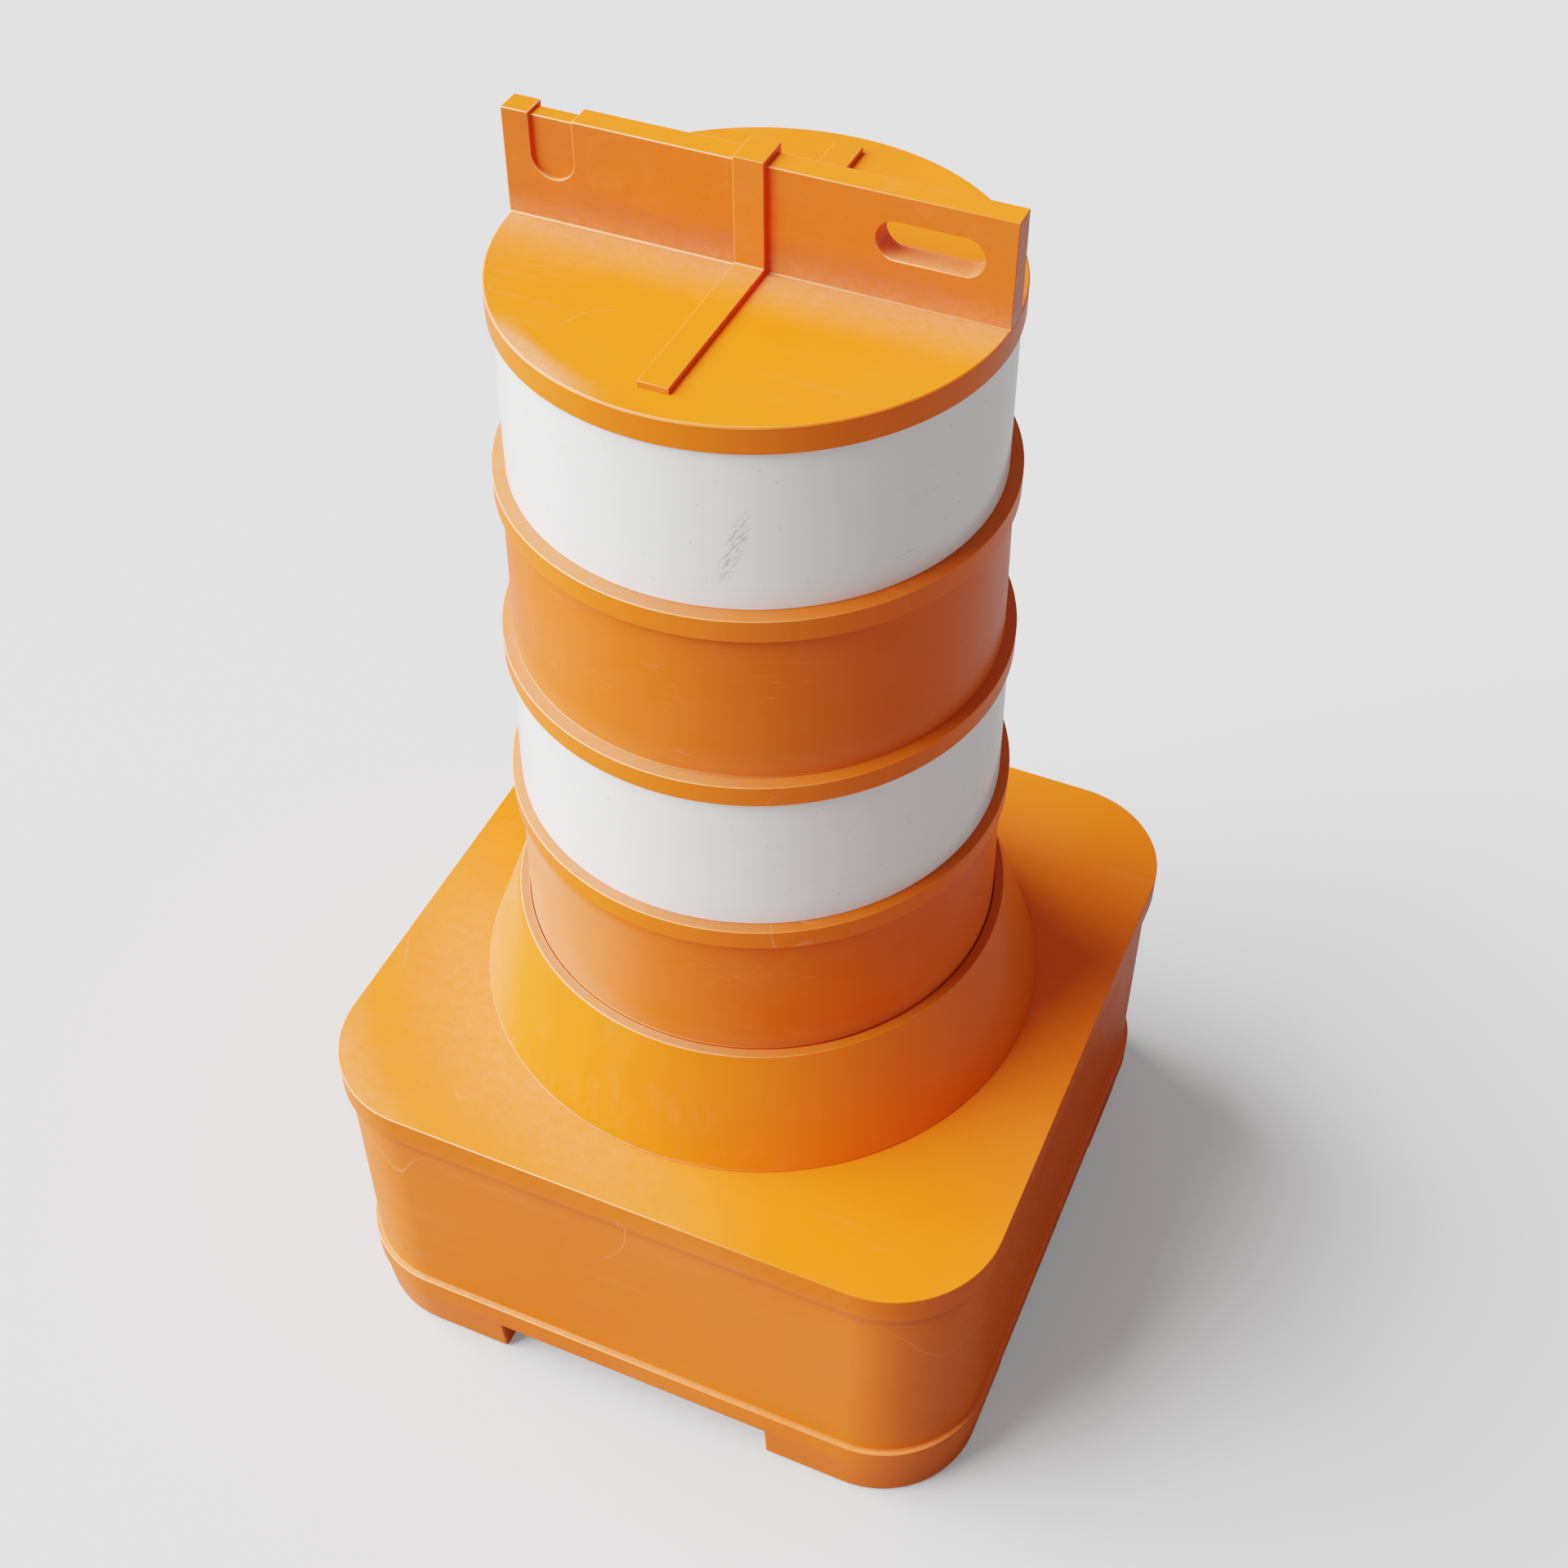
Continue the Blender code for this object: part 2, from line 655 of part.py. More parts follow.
def build_handle_fin(material, body):
    """The upright handle panel, with its hand slot and its saddle for a lamp bracket."""
    foot = fin_foot()
    top = foot + FIN_HEIGHT
    bm = bmesh.new()
    add_box(bm, (-LID_RADIUS, FIN_FRONT, foot), (LID_RADIUS, FIN_REAR, top))
    fin = add_piece("handle_fin", finish_mesh("handle_fin", bm), material, body)

    slot = bmesh.new()
    add_prism(slot, slot_outline(), FIN_FRONT - 0.01, FIN_REAR + 0.01, "Y")
    cut(fin, slot)

    front = bmesh.new()
    add_prism(front, saddle_outline(), FIN_FRONT - 0.01, FIN_FRONT + SADDLE_DEPTH, "Y")
    cut(fin, front)
    rear = bmesh.new()
    add_prism(rear, saddle_outline(), FIN_REAR - SADDLE_DEPTH, FIN_REAR + 0.01, "Y")
    cut(fin, rear)
    drop = bmesh.new()
    add_box(drop, (SADDLE_LEFT, FIN_FRONT - 0.01, top - SADDLE_DROP),
            (SADDLE_RIGHT, FIN_REAR + 0.01, top + 0.01))
    cut(fin, drop)

    pockets = bmesh.new()
    for left, right, wall, height in fin_pockets():
        add_box(pockets, (left, FIN_FRONT + wall, foot - 0.01),
                (right, FIN_REAR - wall, foot + height))
    cut(fin, pockets)
    holes = bmesh.new()
    for place in fin_screw_places():
        add_cylinder(holes, place, SHANK_RADIUS + GAP, foot - 0.01, foot + FIN_SCREW_DEPTH)
    cut(fin, holes)


def build_fin_screws(material, body):
    """Screws driven up from inside the lid into the fin's webs."""
    height = LID_TOP - LID_PLATE - HEAD_HEIGHT - GAP
    mesh = screw_mesh("fin_screw", HEAD_HEIGHT + LID_PLATE + FIN_SCREW_DEPTH - 0.001)
    for index, (x, y) in enumerate(fin_screw_places(), start=1):
        add_piece(f"fin_screw_{index}", mesh, material, body, (x, y, height))


def build_centre_strap(material, body):
    """The strap over the lid and the fin, drawn in the YZ plane and extruded along X."""
    low = LID_TOP + GAP
    high = LID_TOP + STRAP_THICKNESS
    fin_top = fin_foot() + FIN_HEIGHT
    outside = STRAP_THICKNESS
    outline = [
        (STRAP_FRONT, low),
        (STRAP_FRONT, high - 0.001),
        (STRAP_FRONT + 0.001, high),
        (FIN_FRONT - outside, high),
        (FIN_FRONT - outside, fin_top + outside),
        (FIN_REAR + outside, fin_top + outside),
        (FIN_REAR + outside, high),
        (STRAP_REAR - 0.001, high),
        (STRAP_REAR, high - 0.001),
        (STRAP_REAR, low),
        (FIN_REAR + GAP, low),
        (FIN_REAR + GAP, fin_top + GAP),
        (FIN_FRONT - GAP, fin_top + GAP),
        (FIN_FRONT - GAP, low),
    ]
    bm = bmesh.new()
    add_prism(bm, outline, -STRAP_HALF, STRAP_HALF, "X")
    strap = add_piece("centre_strap", finish_mesh("centre_strap", bm), material, body)
    holes = bmesh.new()
    for place in strap_screw_places():
        add_cylinder(holes, place, SHANK_RADIUS + GAP, low - 0.01, high - 0.0008)
    cut(strap, holes)


def build_strap_screws(material, body):
    """Short screws driven up from inside the lid into the ends of the strap."""
    height = LID_TOP - LID_PLATE - HEAD_HEIGHT - GAP
    mesh = screw_mesh("strap_screw", HEAD_HEIGHT + LID_PLATE + 0.0045)
    for name, (x, y) in zip(("strap_screw_front", "strap_screw_rear"), strap_screw_places()):
        add_piece(name, mesh, material, body, (x, y, height))


def build_all():
    """Make every piece, body by body."""
    clear_scene()
    orange = make_material("orange_plastic", (0.80, 0.235, 0.018), 0.5)
    white_sheet = make_material("white_sheeting", (0.82, 0.82, 0.83), 0.35)
    orange_sheet = make_material("orange_sheeting", (0.72, 0.18, 0.012), 0.4)
    rubber = make_material("black_rubber", (0.02, 0.02, 0.02), 0.85)
    ballast = make_material("ballast_rubber", (0.035, 0.033, 0.03), 0.95)
    steel = make_material("screw_steel", (0.55, 0.56, 0.58), 0.3, 1.0)

    base = make_empty("base_body", 0.0)
    seat = make_empty("seat_ring_body", BASE_TOP, base)
    drum = make_empty("drum_axis", SPIGOT_FOOT, seat)
    top = make_empty("lid_axis", NECK_TOP, drum)

    build_base_shell(orange, base)
    build_base_tray(orange, base)
    build_foot_pads(rubber, base)
    build_ballast(ballast, base)
    build_tray_screws(steel, base)
    build_collar(orange, base)
    build_collar_screws(steel, base)

    build_seat_ring(rubber, seat)

    build_drum_body(orange, drum)
    build_sheet("white_sheet_upper", 0, white_sheet, drum)
    build_sheet("orange_sheet_upper", 1, orange_sheet, drum)
    build_sheet("white_sheet_lower", 2, white_sheet, drum)
    build_sheet("orange_sheet_lower", 3, orange_sheet, drum)

    build_lid(orange, top)
    build_lid_seal(rubber, top)
    build_handle_fin(orange, top)
    build_fin_screws(steel, top)
    build_centre_strap(orange, top)
    build_strap_screws(steel, top)


build_all()
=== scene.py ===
"""The looks of the traffic barrel drum: fine shells over the CAD frame, worn moulded plastic,
scuffed reflective sheeting, rubber and steel, on a pale studio floor."""

from math import atan2, cos, hypot, pi, radians, sin, tan

import bmesh
import bpy
from mathutils import Matrix, Vector


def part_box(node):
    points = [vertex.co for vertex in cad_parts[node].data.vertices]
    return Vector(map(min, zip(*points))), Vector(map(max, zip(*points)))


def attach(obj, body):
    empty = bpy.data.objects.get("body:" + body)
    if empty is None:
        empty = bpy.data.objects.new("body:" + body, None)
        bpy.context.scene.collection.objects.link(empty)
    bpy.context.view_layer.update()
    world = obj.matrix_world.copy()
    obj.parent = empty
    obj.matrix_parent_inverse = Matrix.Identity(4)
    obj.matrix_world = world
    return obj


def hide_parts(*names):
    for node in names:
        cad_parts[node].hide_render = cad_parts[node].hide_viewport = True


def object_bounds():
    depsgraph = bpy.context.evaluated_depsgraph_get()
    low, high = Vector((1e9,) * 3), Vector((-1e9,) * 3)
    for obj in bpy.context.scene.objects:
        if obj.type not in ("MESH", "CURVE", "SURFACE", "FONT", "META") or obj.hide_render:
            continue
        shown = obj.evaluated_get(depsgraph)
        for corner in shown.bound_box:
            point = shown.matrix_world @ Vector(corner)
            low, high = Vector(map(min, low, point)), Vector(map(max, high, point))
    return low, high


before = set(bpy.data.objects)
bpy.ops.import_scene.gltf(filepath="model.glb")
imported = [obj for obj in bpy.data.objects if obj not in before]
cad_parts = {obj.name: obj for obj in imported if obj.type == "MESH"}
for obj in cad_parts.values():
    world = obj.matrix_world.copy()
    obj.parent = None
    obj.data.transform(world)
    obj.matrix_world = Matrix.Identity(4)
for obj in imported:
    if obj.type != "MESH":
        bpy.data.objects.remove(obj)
CAD_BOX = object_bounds()

# How finely the shells are made
ROUND_STEPS = 192         # sides of a large round shell
CORNER_STEPS = 24         # segments in a corner of the base
FILLET_STEPS = 4          # segments in a rounded edge
EDGE = 0.0010             # usual radius of a moulded edge
MOST_SETBACK = 0.45       # a fillet takes at most this share of the side next to it
LEAST_BEND = radians(8)   # an outline that turns less than this stays as it is
SHARP_BEND = radians(40)  # shading breaks where a mesh turns more than this
BEVEL_STEPS = 3           # segments in an edge that is rounded after cutting
BEVEL_BEND = radians(30)  # and only edges that turn more than this are rounded
FLAT_BEND = radians(0.3)  # faces that turn less than this after cutting are merged
PAD_STEPS = 64            # sides of a foot pad
WELL_STEPS = 48           # and of its well
SCREW_STEPS = 36          # sides of a screw
HEAD_WELL_STEPS = 32      # and of the well round its head
HEAD_STEPS = 5            # segments in the rounded edge of its head
FIN_COVE_STEPS = 5
STRAP_COVE_STEPS = 4
SLOT_STEPS = 32           # segments in each end of the hand slot
SADDLE_STEPS = 40         # and in the round foot of the saddle
OVERSHOOT = 0.01          # how far a cutter reaches past what it cuts
SAME_PLACE = 1e-5         # places closer than this are the same
SAME_LEVEL = 1e-4         # and so are heights closer than this

# Places read from the frame
GROUND = CAD_BOX[0].z
LID_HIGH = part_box("lid")[1]
SHELL_LOW, SHELL_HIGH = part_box("base_shell")
TRAY_LOW, TRAY_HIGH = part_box("base_tray")
FIN_LOW, FIN_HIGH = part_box("handle_fin")
STRAP_LOW, STRAP_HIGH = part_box("centre_strap")
COLLAR_LOW, COLLAR_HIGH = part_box("collar_cone")

# Sizes that the frame holds only as shapes
GAP = 0.0003              # hairline between pieces that meet
CLEARANCE = 0.0006        # round a pad or a screw's head in its well
LIP_HEIGHT = 0.036        # base lip
LIP_STEP = 0.0063         # from the lip's face in to the wall
LIP_SLOPE = 0.004         # height of the slope below the lip
SHELL_WALL = 0.005
SHELL_CAP = 0.08          # the middle of the base's top, one flat face, starts this far in
WALL_FLARE = 0.001        # the wall is this much wider at its foot
BEAD_OUT = 0.0020         # small bead round the wall's foot
BEAD_HEIGHT = 0.0020
LIP_SHADE_DROP = 0.0157        # from the lip's foot down to the line of painted shade on the wall
FOOT_TAPER = 0.0067       # a foot is this much smaller than the flange, each side
FOOT_KNEE_OUT = 0.0025    # where the foot bends outwards: from the flange's face in
FOOT_KNEE_DROP = 0.003    # and from the channels' ceiling down
FLANGE_LOW = 0.062
FLOOR_TOP = 0.064
CHANNEL_HALF = 0.164      # half the width of a fork channel
CHANNEL_REACH = 0.5       # half the length of its cutter, past both sides of the base
CHANNEL_TOP = 0.054
FOOT_EDGE = 0.0035
LEDGE_EDGE = 0.0009
PAD_RINGS = 6
PAD_RIM = 0.006           # plain rim outside the grooves
PAD_CENTRE = 0.002        # and what is left inside them
PAD_EDGE = 0.0004
GROOVE_DEPTH = 0.0015
GROOVE_WIDTH = 0.0028
GROOVE_SLOPE = 0.0006     # how far each of its sides leans
SLAB_EDGE = 0.003
SHEET_EDGE = 0.00012
SHANK_RADIUS = 0.003
SHANK_TIP = 0.001
HEAD_HEIGHT = 0.0042
HEAD_EDGE = 0.0014
HEAD_WELL = 0.005         # how far the well round a tray screw's head goes past its underside
SOCKET_RADIUS = 0.0026
SOCKET_DEPTH = 0.0022
FIN_COVE = 0.0012
FIN_EDGE = 0.0009
SLOT_LEFT = 0.1092
SLOT_RIGHT = 0.2024
SLOT_LOW = 0.0391
SLOT_TOP = 0.0740
SADDLE_LEFT = -0.2030
SADDLE_RIGHT = -0.1624
SADDLE_LOW = 0.0400
SADDLE_DEPTH = 0.0044
SADDLE_DROP = 0.0035      # the fin between the two recesses is this much lower
SADDLE_WEAR_AND_HIGHLIGHT = 0.55        # against the fin's other edges, but not this near its top:
SADDLE_BRIM = 0.01
SLOT_HIGHLIGHT = 8.0           # painted highlight: the slot's lower edge is painted pale although it is on the right
SLOT_HIGHLIGHT_HEIGHT = 0.002  # how high up the slot's ends that goes
STRAP_THICK = 0.0058
STRAP_EDGE = 0.0008
STRAP_COVE = 0.0010
STRAP_COVE_HIGHLIGHT = 2.4     # painted highlight in the strap's cove, against the strap's other edges
LID_EDGE = 0.0009
SHEETS = ("white_sheet_upper", "orange_sheet_upper", "white_sheet_lower", "orange_sheet_lower")

# Camera: a 50 mm lens, high and to the right of the front
LENS = 50.0
SENSOR = 36.0
CAMERA_AZIMUTH = 23.57
CAMERA_ELEVATION = 45.61
CAMERA_DISTANCE = 2.2648
CAMERA_TARGET = (0.0214, 0.0095, 0.660)

# Studio: one broad round key far to the left, a dim sky and a floor
KEY_AZIMUTH = -70.0
KEY_ELEVATION = 40.0
KEY_SPREAD = 64.0
KEY_STRENGTH = 15.6
SKY_STRENGTH = 0.30
SKY_SEEN = 1.83           # the camera sees the sky as bright as the floor, so no horizon shows
LIGHT_STAND = 4.0         # where the key's marker stands; it doesn't change the light
FLOOR_HALF = 30.0         # half the floor's side

# The rubbed streak on the upper white sheet, and the painted sheen on the lowest sheet
RUB_AZIMUTH = 19.2
RUB_HEIGHT = 0.40         # its middle, between the sheet's lower and upper edge
RUB_HALF_WIDTH = 0.011
RUB_HALF_HEIGHT = 0.046
RUB_LEAN = 0.26           # it leans to the right as it goes up
DRUM_SHEEN_TOP = 0.668     # the painted sheen on the drum's lowest section ends here


# ---- reading the frame

def node_vertices(node):
    """The corner points of a CAD node."""
    return [v.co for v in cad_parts[node].data.vertices]


def half_section(node):
    """The outline of a round CAD node in the +X half-plane, as (radius, height) points.

    A ring gives a closed loop. A disc gives a chain from the axis to the axis."""
    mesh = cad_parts[node].data
    spots = {}
    for v in mesh.vertices:
        if abs(v.co.y) < SAME_PLACE and v.co.x > -SAME_PLACE:
            spots[v.index] = (round(v.co.x, 5), round(v.co.z, 5))
    links = {}
    for edge in mesh.edges:
        first, second = (spots.get(index) for index in edge.vertices)
        if first and second and first != second:
            links.setdefault(first, set()).add(second)
            links.setdefault(second, set()).add(first)
    ends = sorted(point for point, linked in links.items() if len(linked) == 1)
    start = max(ends, key=lambda point: point[1]) if ends else max(links, key=lambda p: (p[1], p[0]))
    chain = [start]
    while True:
        ahead = [p for p in sorted(links[chain[-1]], reverse=True) if p not in chain]
        if not ahead:
            return chain, not ends
        chain.append(ahead[0])


# ---- outlines

def turn_at(before, point, after):
    """How sharply an outline turns at a point, in radians; positive is to the left."""
    first = atan2(point[1] - before[1], point[0] - before[0])
    second = atan2(after[1] - point[1], after[0] - point[0])
    return (second - first + pi) % (2 * pi) - pi


def signed_area(outline):
    """Positive where the outline runs anticlockwise."""
    total = 0.0
    for (x1, y1), (x2, y2) in zip(outline, outline[1:] + outline[:1]):
        total += x1 * y2 - x2 * y1
    return total / 2


def fillet(outline, closed=True, radius=EDGE):
    """Round every corner of an outline. Gives (x, y, worn): is the stretch after it a pale edge, worn
    and painted highlight?
    """
    side = 1 if signed_area(outline) > 0 else -1
    count = len(outline)
    points = []
    for index, point in enumerate(outline):
        if not closed and index in (0, count - 1):
            points.append((*point, False))
            continue
        before = outline[index - 1]
        after = outline[(index + 1) % count]
        bend = turn_at(before, point, after)
        if abs(bend) < LEAST_BEND:
            points.append((*point, False))
            continue
        reach_back = hypot(point[0] - before[0], point[1] - before[1])
        reach_on = hypot(after[0] - point[0], after[1] - point[1])
        half = tan(abs(bend) / 2)
        setback = min(radius * half, MOST_SETBACK * reach_back, MOST_SETBACK * reach_on)
        size = setback / half
        back_x = (before[0] - point[0]) / reach_back
        back_y = (before[1] - point[1]) / reach_back
        sign = 1 if bend > 0 else -1
        start_x = point[0] + back_x * setback
        start_y = point[1] + back_y * setback
        centre_x = start_x + back_y * sign * size
        centre_y = start_y - back_x * sign * size
        first = atan2(start_y - centre_y, start_x - centre_x)
        for step in range(FILLET_STEPS + 1):
            angle = first + bend * step / FILLET_STEPS
            worn = bend * side > 0 and step < FILLET_STEPS
            points.append((centre_x + size * cos(angle), centre_y + size * sin(angle), worn))
    return points


def arc(centre, radius, first, last, steps):
    """Points along an arc, angles in degrees."""
    points = []
    for step in range(steps + 1):
        angle = radians(first + (last - first) * step / steps)
        points.append((centre[0] + radius * cos(angle), centre[1] + radius * sin(angle)))
    return points


# ---- mesh helpers

def new_object(name, mesh):
    """A new object that holds a mesh."""
    made = bpy.data.objects.new(name, mesh)
    bpy.context.scene.collection.objects.link(made)
    return made


def finish_mesh(name, bm):
    """Turn a bmesh into a new object whose large faces keep their flat look."""
    bmesh.ops.recalc_face_normals(bm, faces=bm.faces)
    mesh = bpy.data.meshes.new(name)
    bm.to_mesh(mesh)
    bm.free()
    mesh.shade_smooth()
    mesh.set_sharp_from_angle(angle=SHARP_BEND)
    made = new_object(name, mesh)
    weighted = made.modifiers.new("weighted", "WEIGHTED_NORMAL")
    weighted.keep_sharp = True
    return made


def wear_layer(bm):
    """The face layer that marks pale edges: worn edges that also carry a painted highlight."""
    return bm.faces.layers.float.get("wear_and_highlight") or bm.faces.layers.float.new("wear_and_highlight")


def revolve(name, section, closed=True, steps=ROUND_STEPS, span=2 * pi, start=0.0):
    """Turn a (radius, height, worn) outline round the drum's axis."""
    bm = bmesh.new()
    wear_and_highlight = wear_layer(bm)
    full = span == 2 * pi
    columns = []
    poles = {}
    for step in range(steps if full else steps + 1):
        angle = start + span * step / steps
        column = []
        for index, (radius, height, _) in enumerate(section):
            if radius < SAME_PLACE:
                if index not in poles:
                    poles[index] = bm.verts.new((0.0, 0.0, height))
                column.append(poles[index])
            else:
                column.append(bm.verts.new((radius * cos(angle), radius * sin(angle), height)))
        columns.append(column)
    count = len(section)
    pairs = [(index, index + 1) for index in range(count - 1)]
    if closed:
        pairs.append((count - 1, 0))
    neighbours = list(zip(columns, columns[1:]))
    if full:
        neighbours.append((columns[-1], columns[0]))
    for here, there in neighbours:
        for low, high in pairs:
            corners = list(dict.fromkeys((here[low], here[high], there[high], there[low])))
            if len(corners) > 2:
                face = bm.faces.new(corners)
                face[wear_and_highlight] = float(section[low][2])
    if not full:
        bm.faces.new(columns[0])
        bm.faces.new(columns[-1])
    return finish_mesh(name, bm)


def corner_arc_centre(node):
    """How far a corner's arc centre is from X and from Y: where the straight side ends."""
    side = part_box(node)[1].x
    return max(v.y for v in node_vertices(node) if abs(v.x - side) < SAME_PLACE)


def square_ring(bm, half_side, corner_centre, height):
    """One ring of vertices around a square with rounded corners."""
    radius = half_side - corner_centre
    ring = []
    for quarter in range(4):
        middle_x = corner_centre * (1 if quarter in (0, 3) else -1)
        middle_y = corner_centre * (1 if quarter in (0, 1) else -1)
        for step in range(CORNER_STEPS + 1):
            angle = (quarter + step / CORNER_STEPS) * pi / 2
            x = middle_x + radius * cos(angle)
            y = middle_y + radius * sin(angle)
            ring.append(bm.verts.new((x, y, height)))
    return ring


def sweep_square(bm, section, corner_centre):
    """Carry a (half-side, height, worn) outline round a square with rounded corners."""
    wear_and_highlight = wear_layer(bm)
    rings = [square_ring(bm, half, corner_centre, height) for half, height, _ in section]
    for index, (first, second) in enumerate(zip(rings, rings[1:])):
        join_rings(bm, first, second, wear_and_highlight, float(section[index][2]))
    return rings


def join_rings(bm, first, second, wear_and_highlight, worn=0.0):
    """Faces between two rings with the same number of vertices."""
    count = len(first)
    for index in range(count):
        after = (index + 1) % count
        face = bm.faces.new((first[index], first[after], second[after], second[index]))
        face[wear_and_highlight] = worn


def prism(bm, outline, low, high, axis):
    """A solid with this outline, from low to high along X or Y."""
    ends = []
    for along in (low, high):
        if axis == "X":
            ends.append([bm.verts.new((along, first, second)) for first, second in outline])
        else:
            ends.append([bm.verts.new((first, along, second)) for first, second in outline])
    bm.faces.new(ends[0])
    bm.faces.new(ends[1][::-1])
    count = len(outline)
    for index in range(count):
        after = (index + 1) % count
        bm.faces.new((ends[0][index], ends[1][index], ends[1][after], ends[0][after]))


def box(bm, low, high):
    """An upright box between two corners."""
    outline = [(low[1], low[2]), (high[1], low[2]), (high[1], high[2]), (low[1], high[2])]
    prism(bm, outline, low[0], high[0], "X")


def upright_cylinder(bm, x, y, radius, low, high, steps):
    """An upright round solid."""
    middle = Matrix.Translation((x, y, (low + high) / 2))
    bmesh.ops.create_cone(bm, cap_ends=True, segments=steps, radius1=radius, radius2=radius,
                          depth=high - low, matrix=middle)


def cut(target, cutter):
    """Take one closed mesh out of another; both are bmeshes, and the first is changed."""
    bmesh.ops.recalc_face_normals(target, faces=target.faces)
    bmesh.ops.recalc_face_normals(cutter, faces=cutter.faces)
    parts = []
    for bm in (target, cutter):
        mesh = bpy.data.meshes.new("boolean")
        bm.to_mesh(mesh)
        parts.append(new_object("boolean", mesh))
    boolean = parts[0].modifiers.new("cut", "BOOLEAN")
    boolean.operation = "DIFFERENCE"
    boolean.solver = "EXACT"
    boolean.object = parts[1]
    bpy.context.view_layer.update()
    evaluated = parts[0].evaluated_get(bpy.context.evaluated_depsgraph_get())
    target.clear()
    target.from_mesh(evaluated.data)
    cutter.free()
    for part in parts:
        bpy.data.objects.remove(part, do_unlink=True)
    bmesh.ops.dissolve_limit(target, angle_limit=FLAT_BEND, verts=target.verts, edges=target.edges)


def cut_well(target, node, high, steps):
    """Make room below this height for a round CAD node that sits in the sole."""
    box_low, box_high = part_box(node)
    middle = (box_low + box_high) / 2
    radius = (box_high.x - box_low.x) / 2
    well = bmesh.new()
    upright_cylinder(well, middle.x, middle.y, radius + CLEARANCE, -OVERSHOOT, high, steps)
    cut(target, well)


def highest(edge):
    """The height of an edge's upper end."""
    return max(v.co.z for v in edge.verts)


def lowest(edge):
    """The height of an edge's lower end."""
    return min(v.co.z for v in edge.verts)


def round_edges(bm, width, wanted, clamp=True):
    """Round the outer edges for which wanted(edge) holds, and mark them as pale edges: worn, and painted
    highlight.
    """
    wear_and_highlight = wear_layer(bm)
    chosen = []
    for edge in bm.edges:
        if len(edge.link_faces) == 2 and wanted(edge):
            if edge.calc_face_angle_signed(0.0) > BEVEL_BEND:
                chosen.append(edge)
    got = bmesh.ops.bevel(bm, geom=chosen, offset=width, segments=BEVEL_STEPS, profile=0.5,
                          affect="EDGES", clamp_overlap=clamp)
    for face in got["faces"]:
        face[wear_and_highlight] = 1.0


# ---- materials

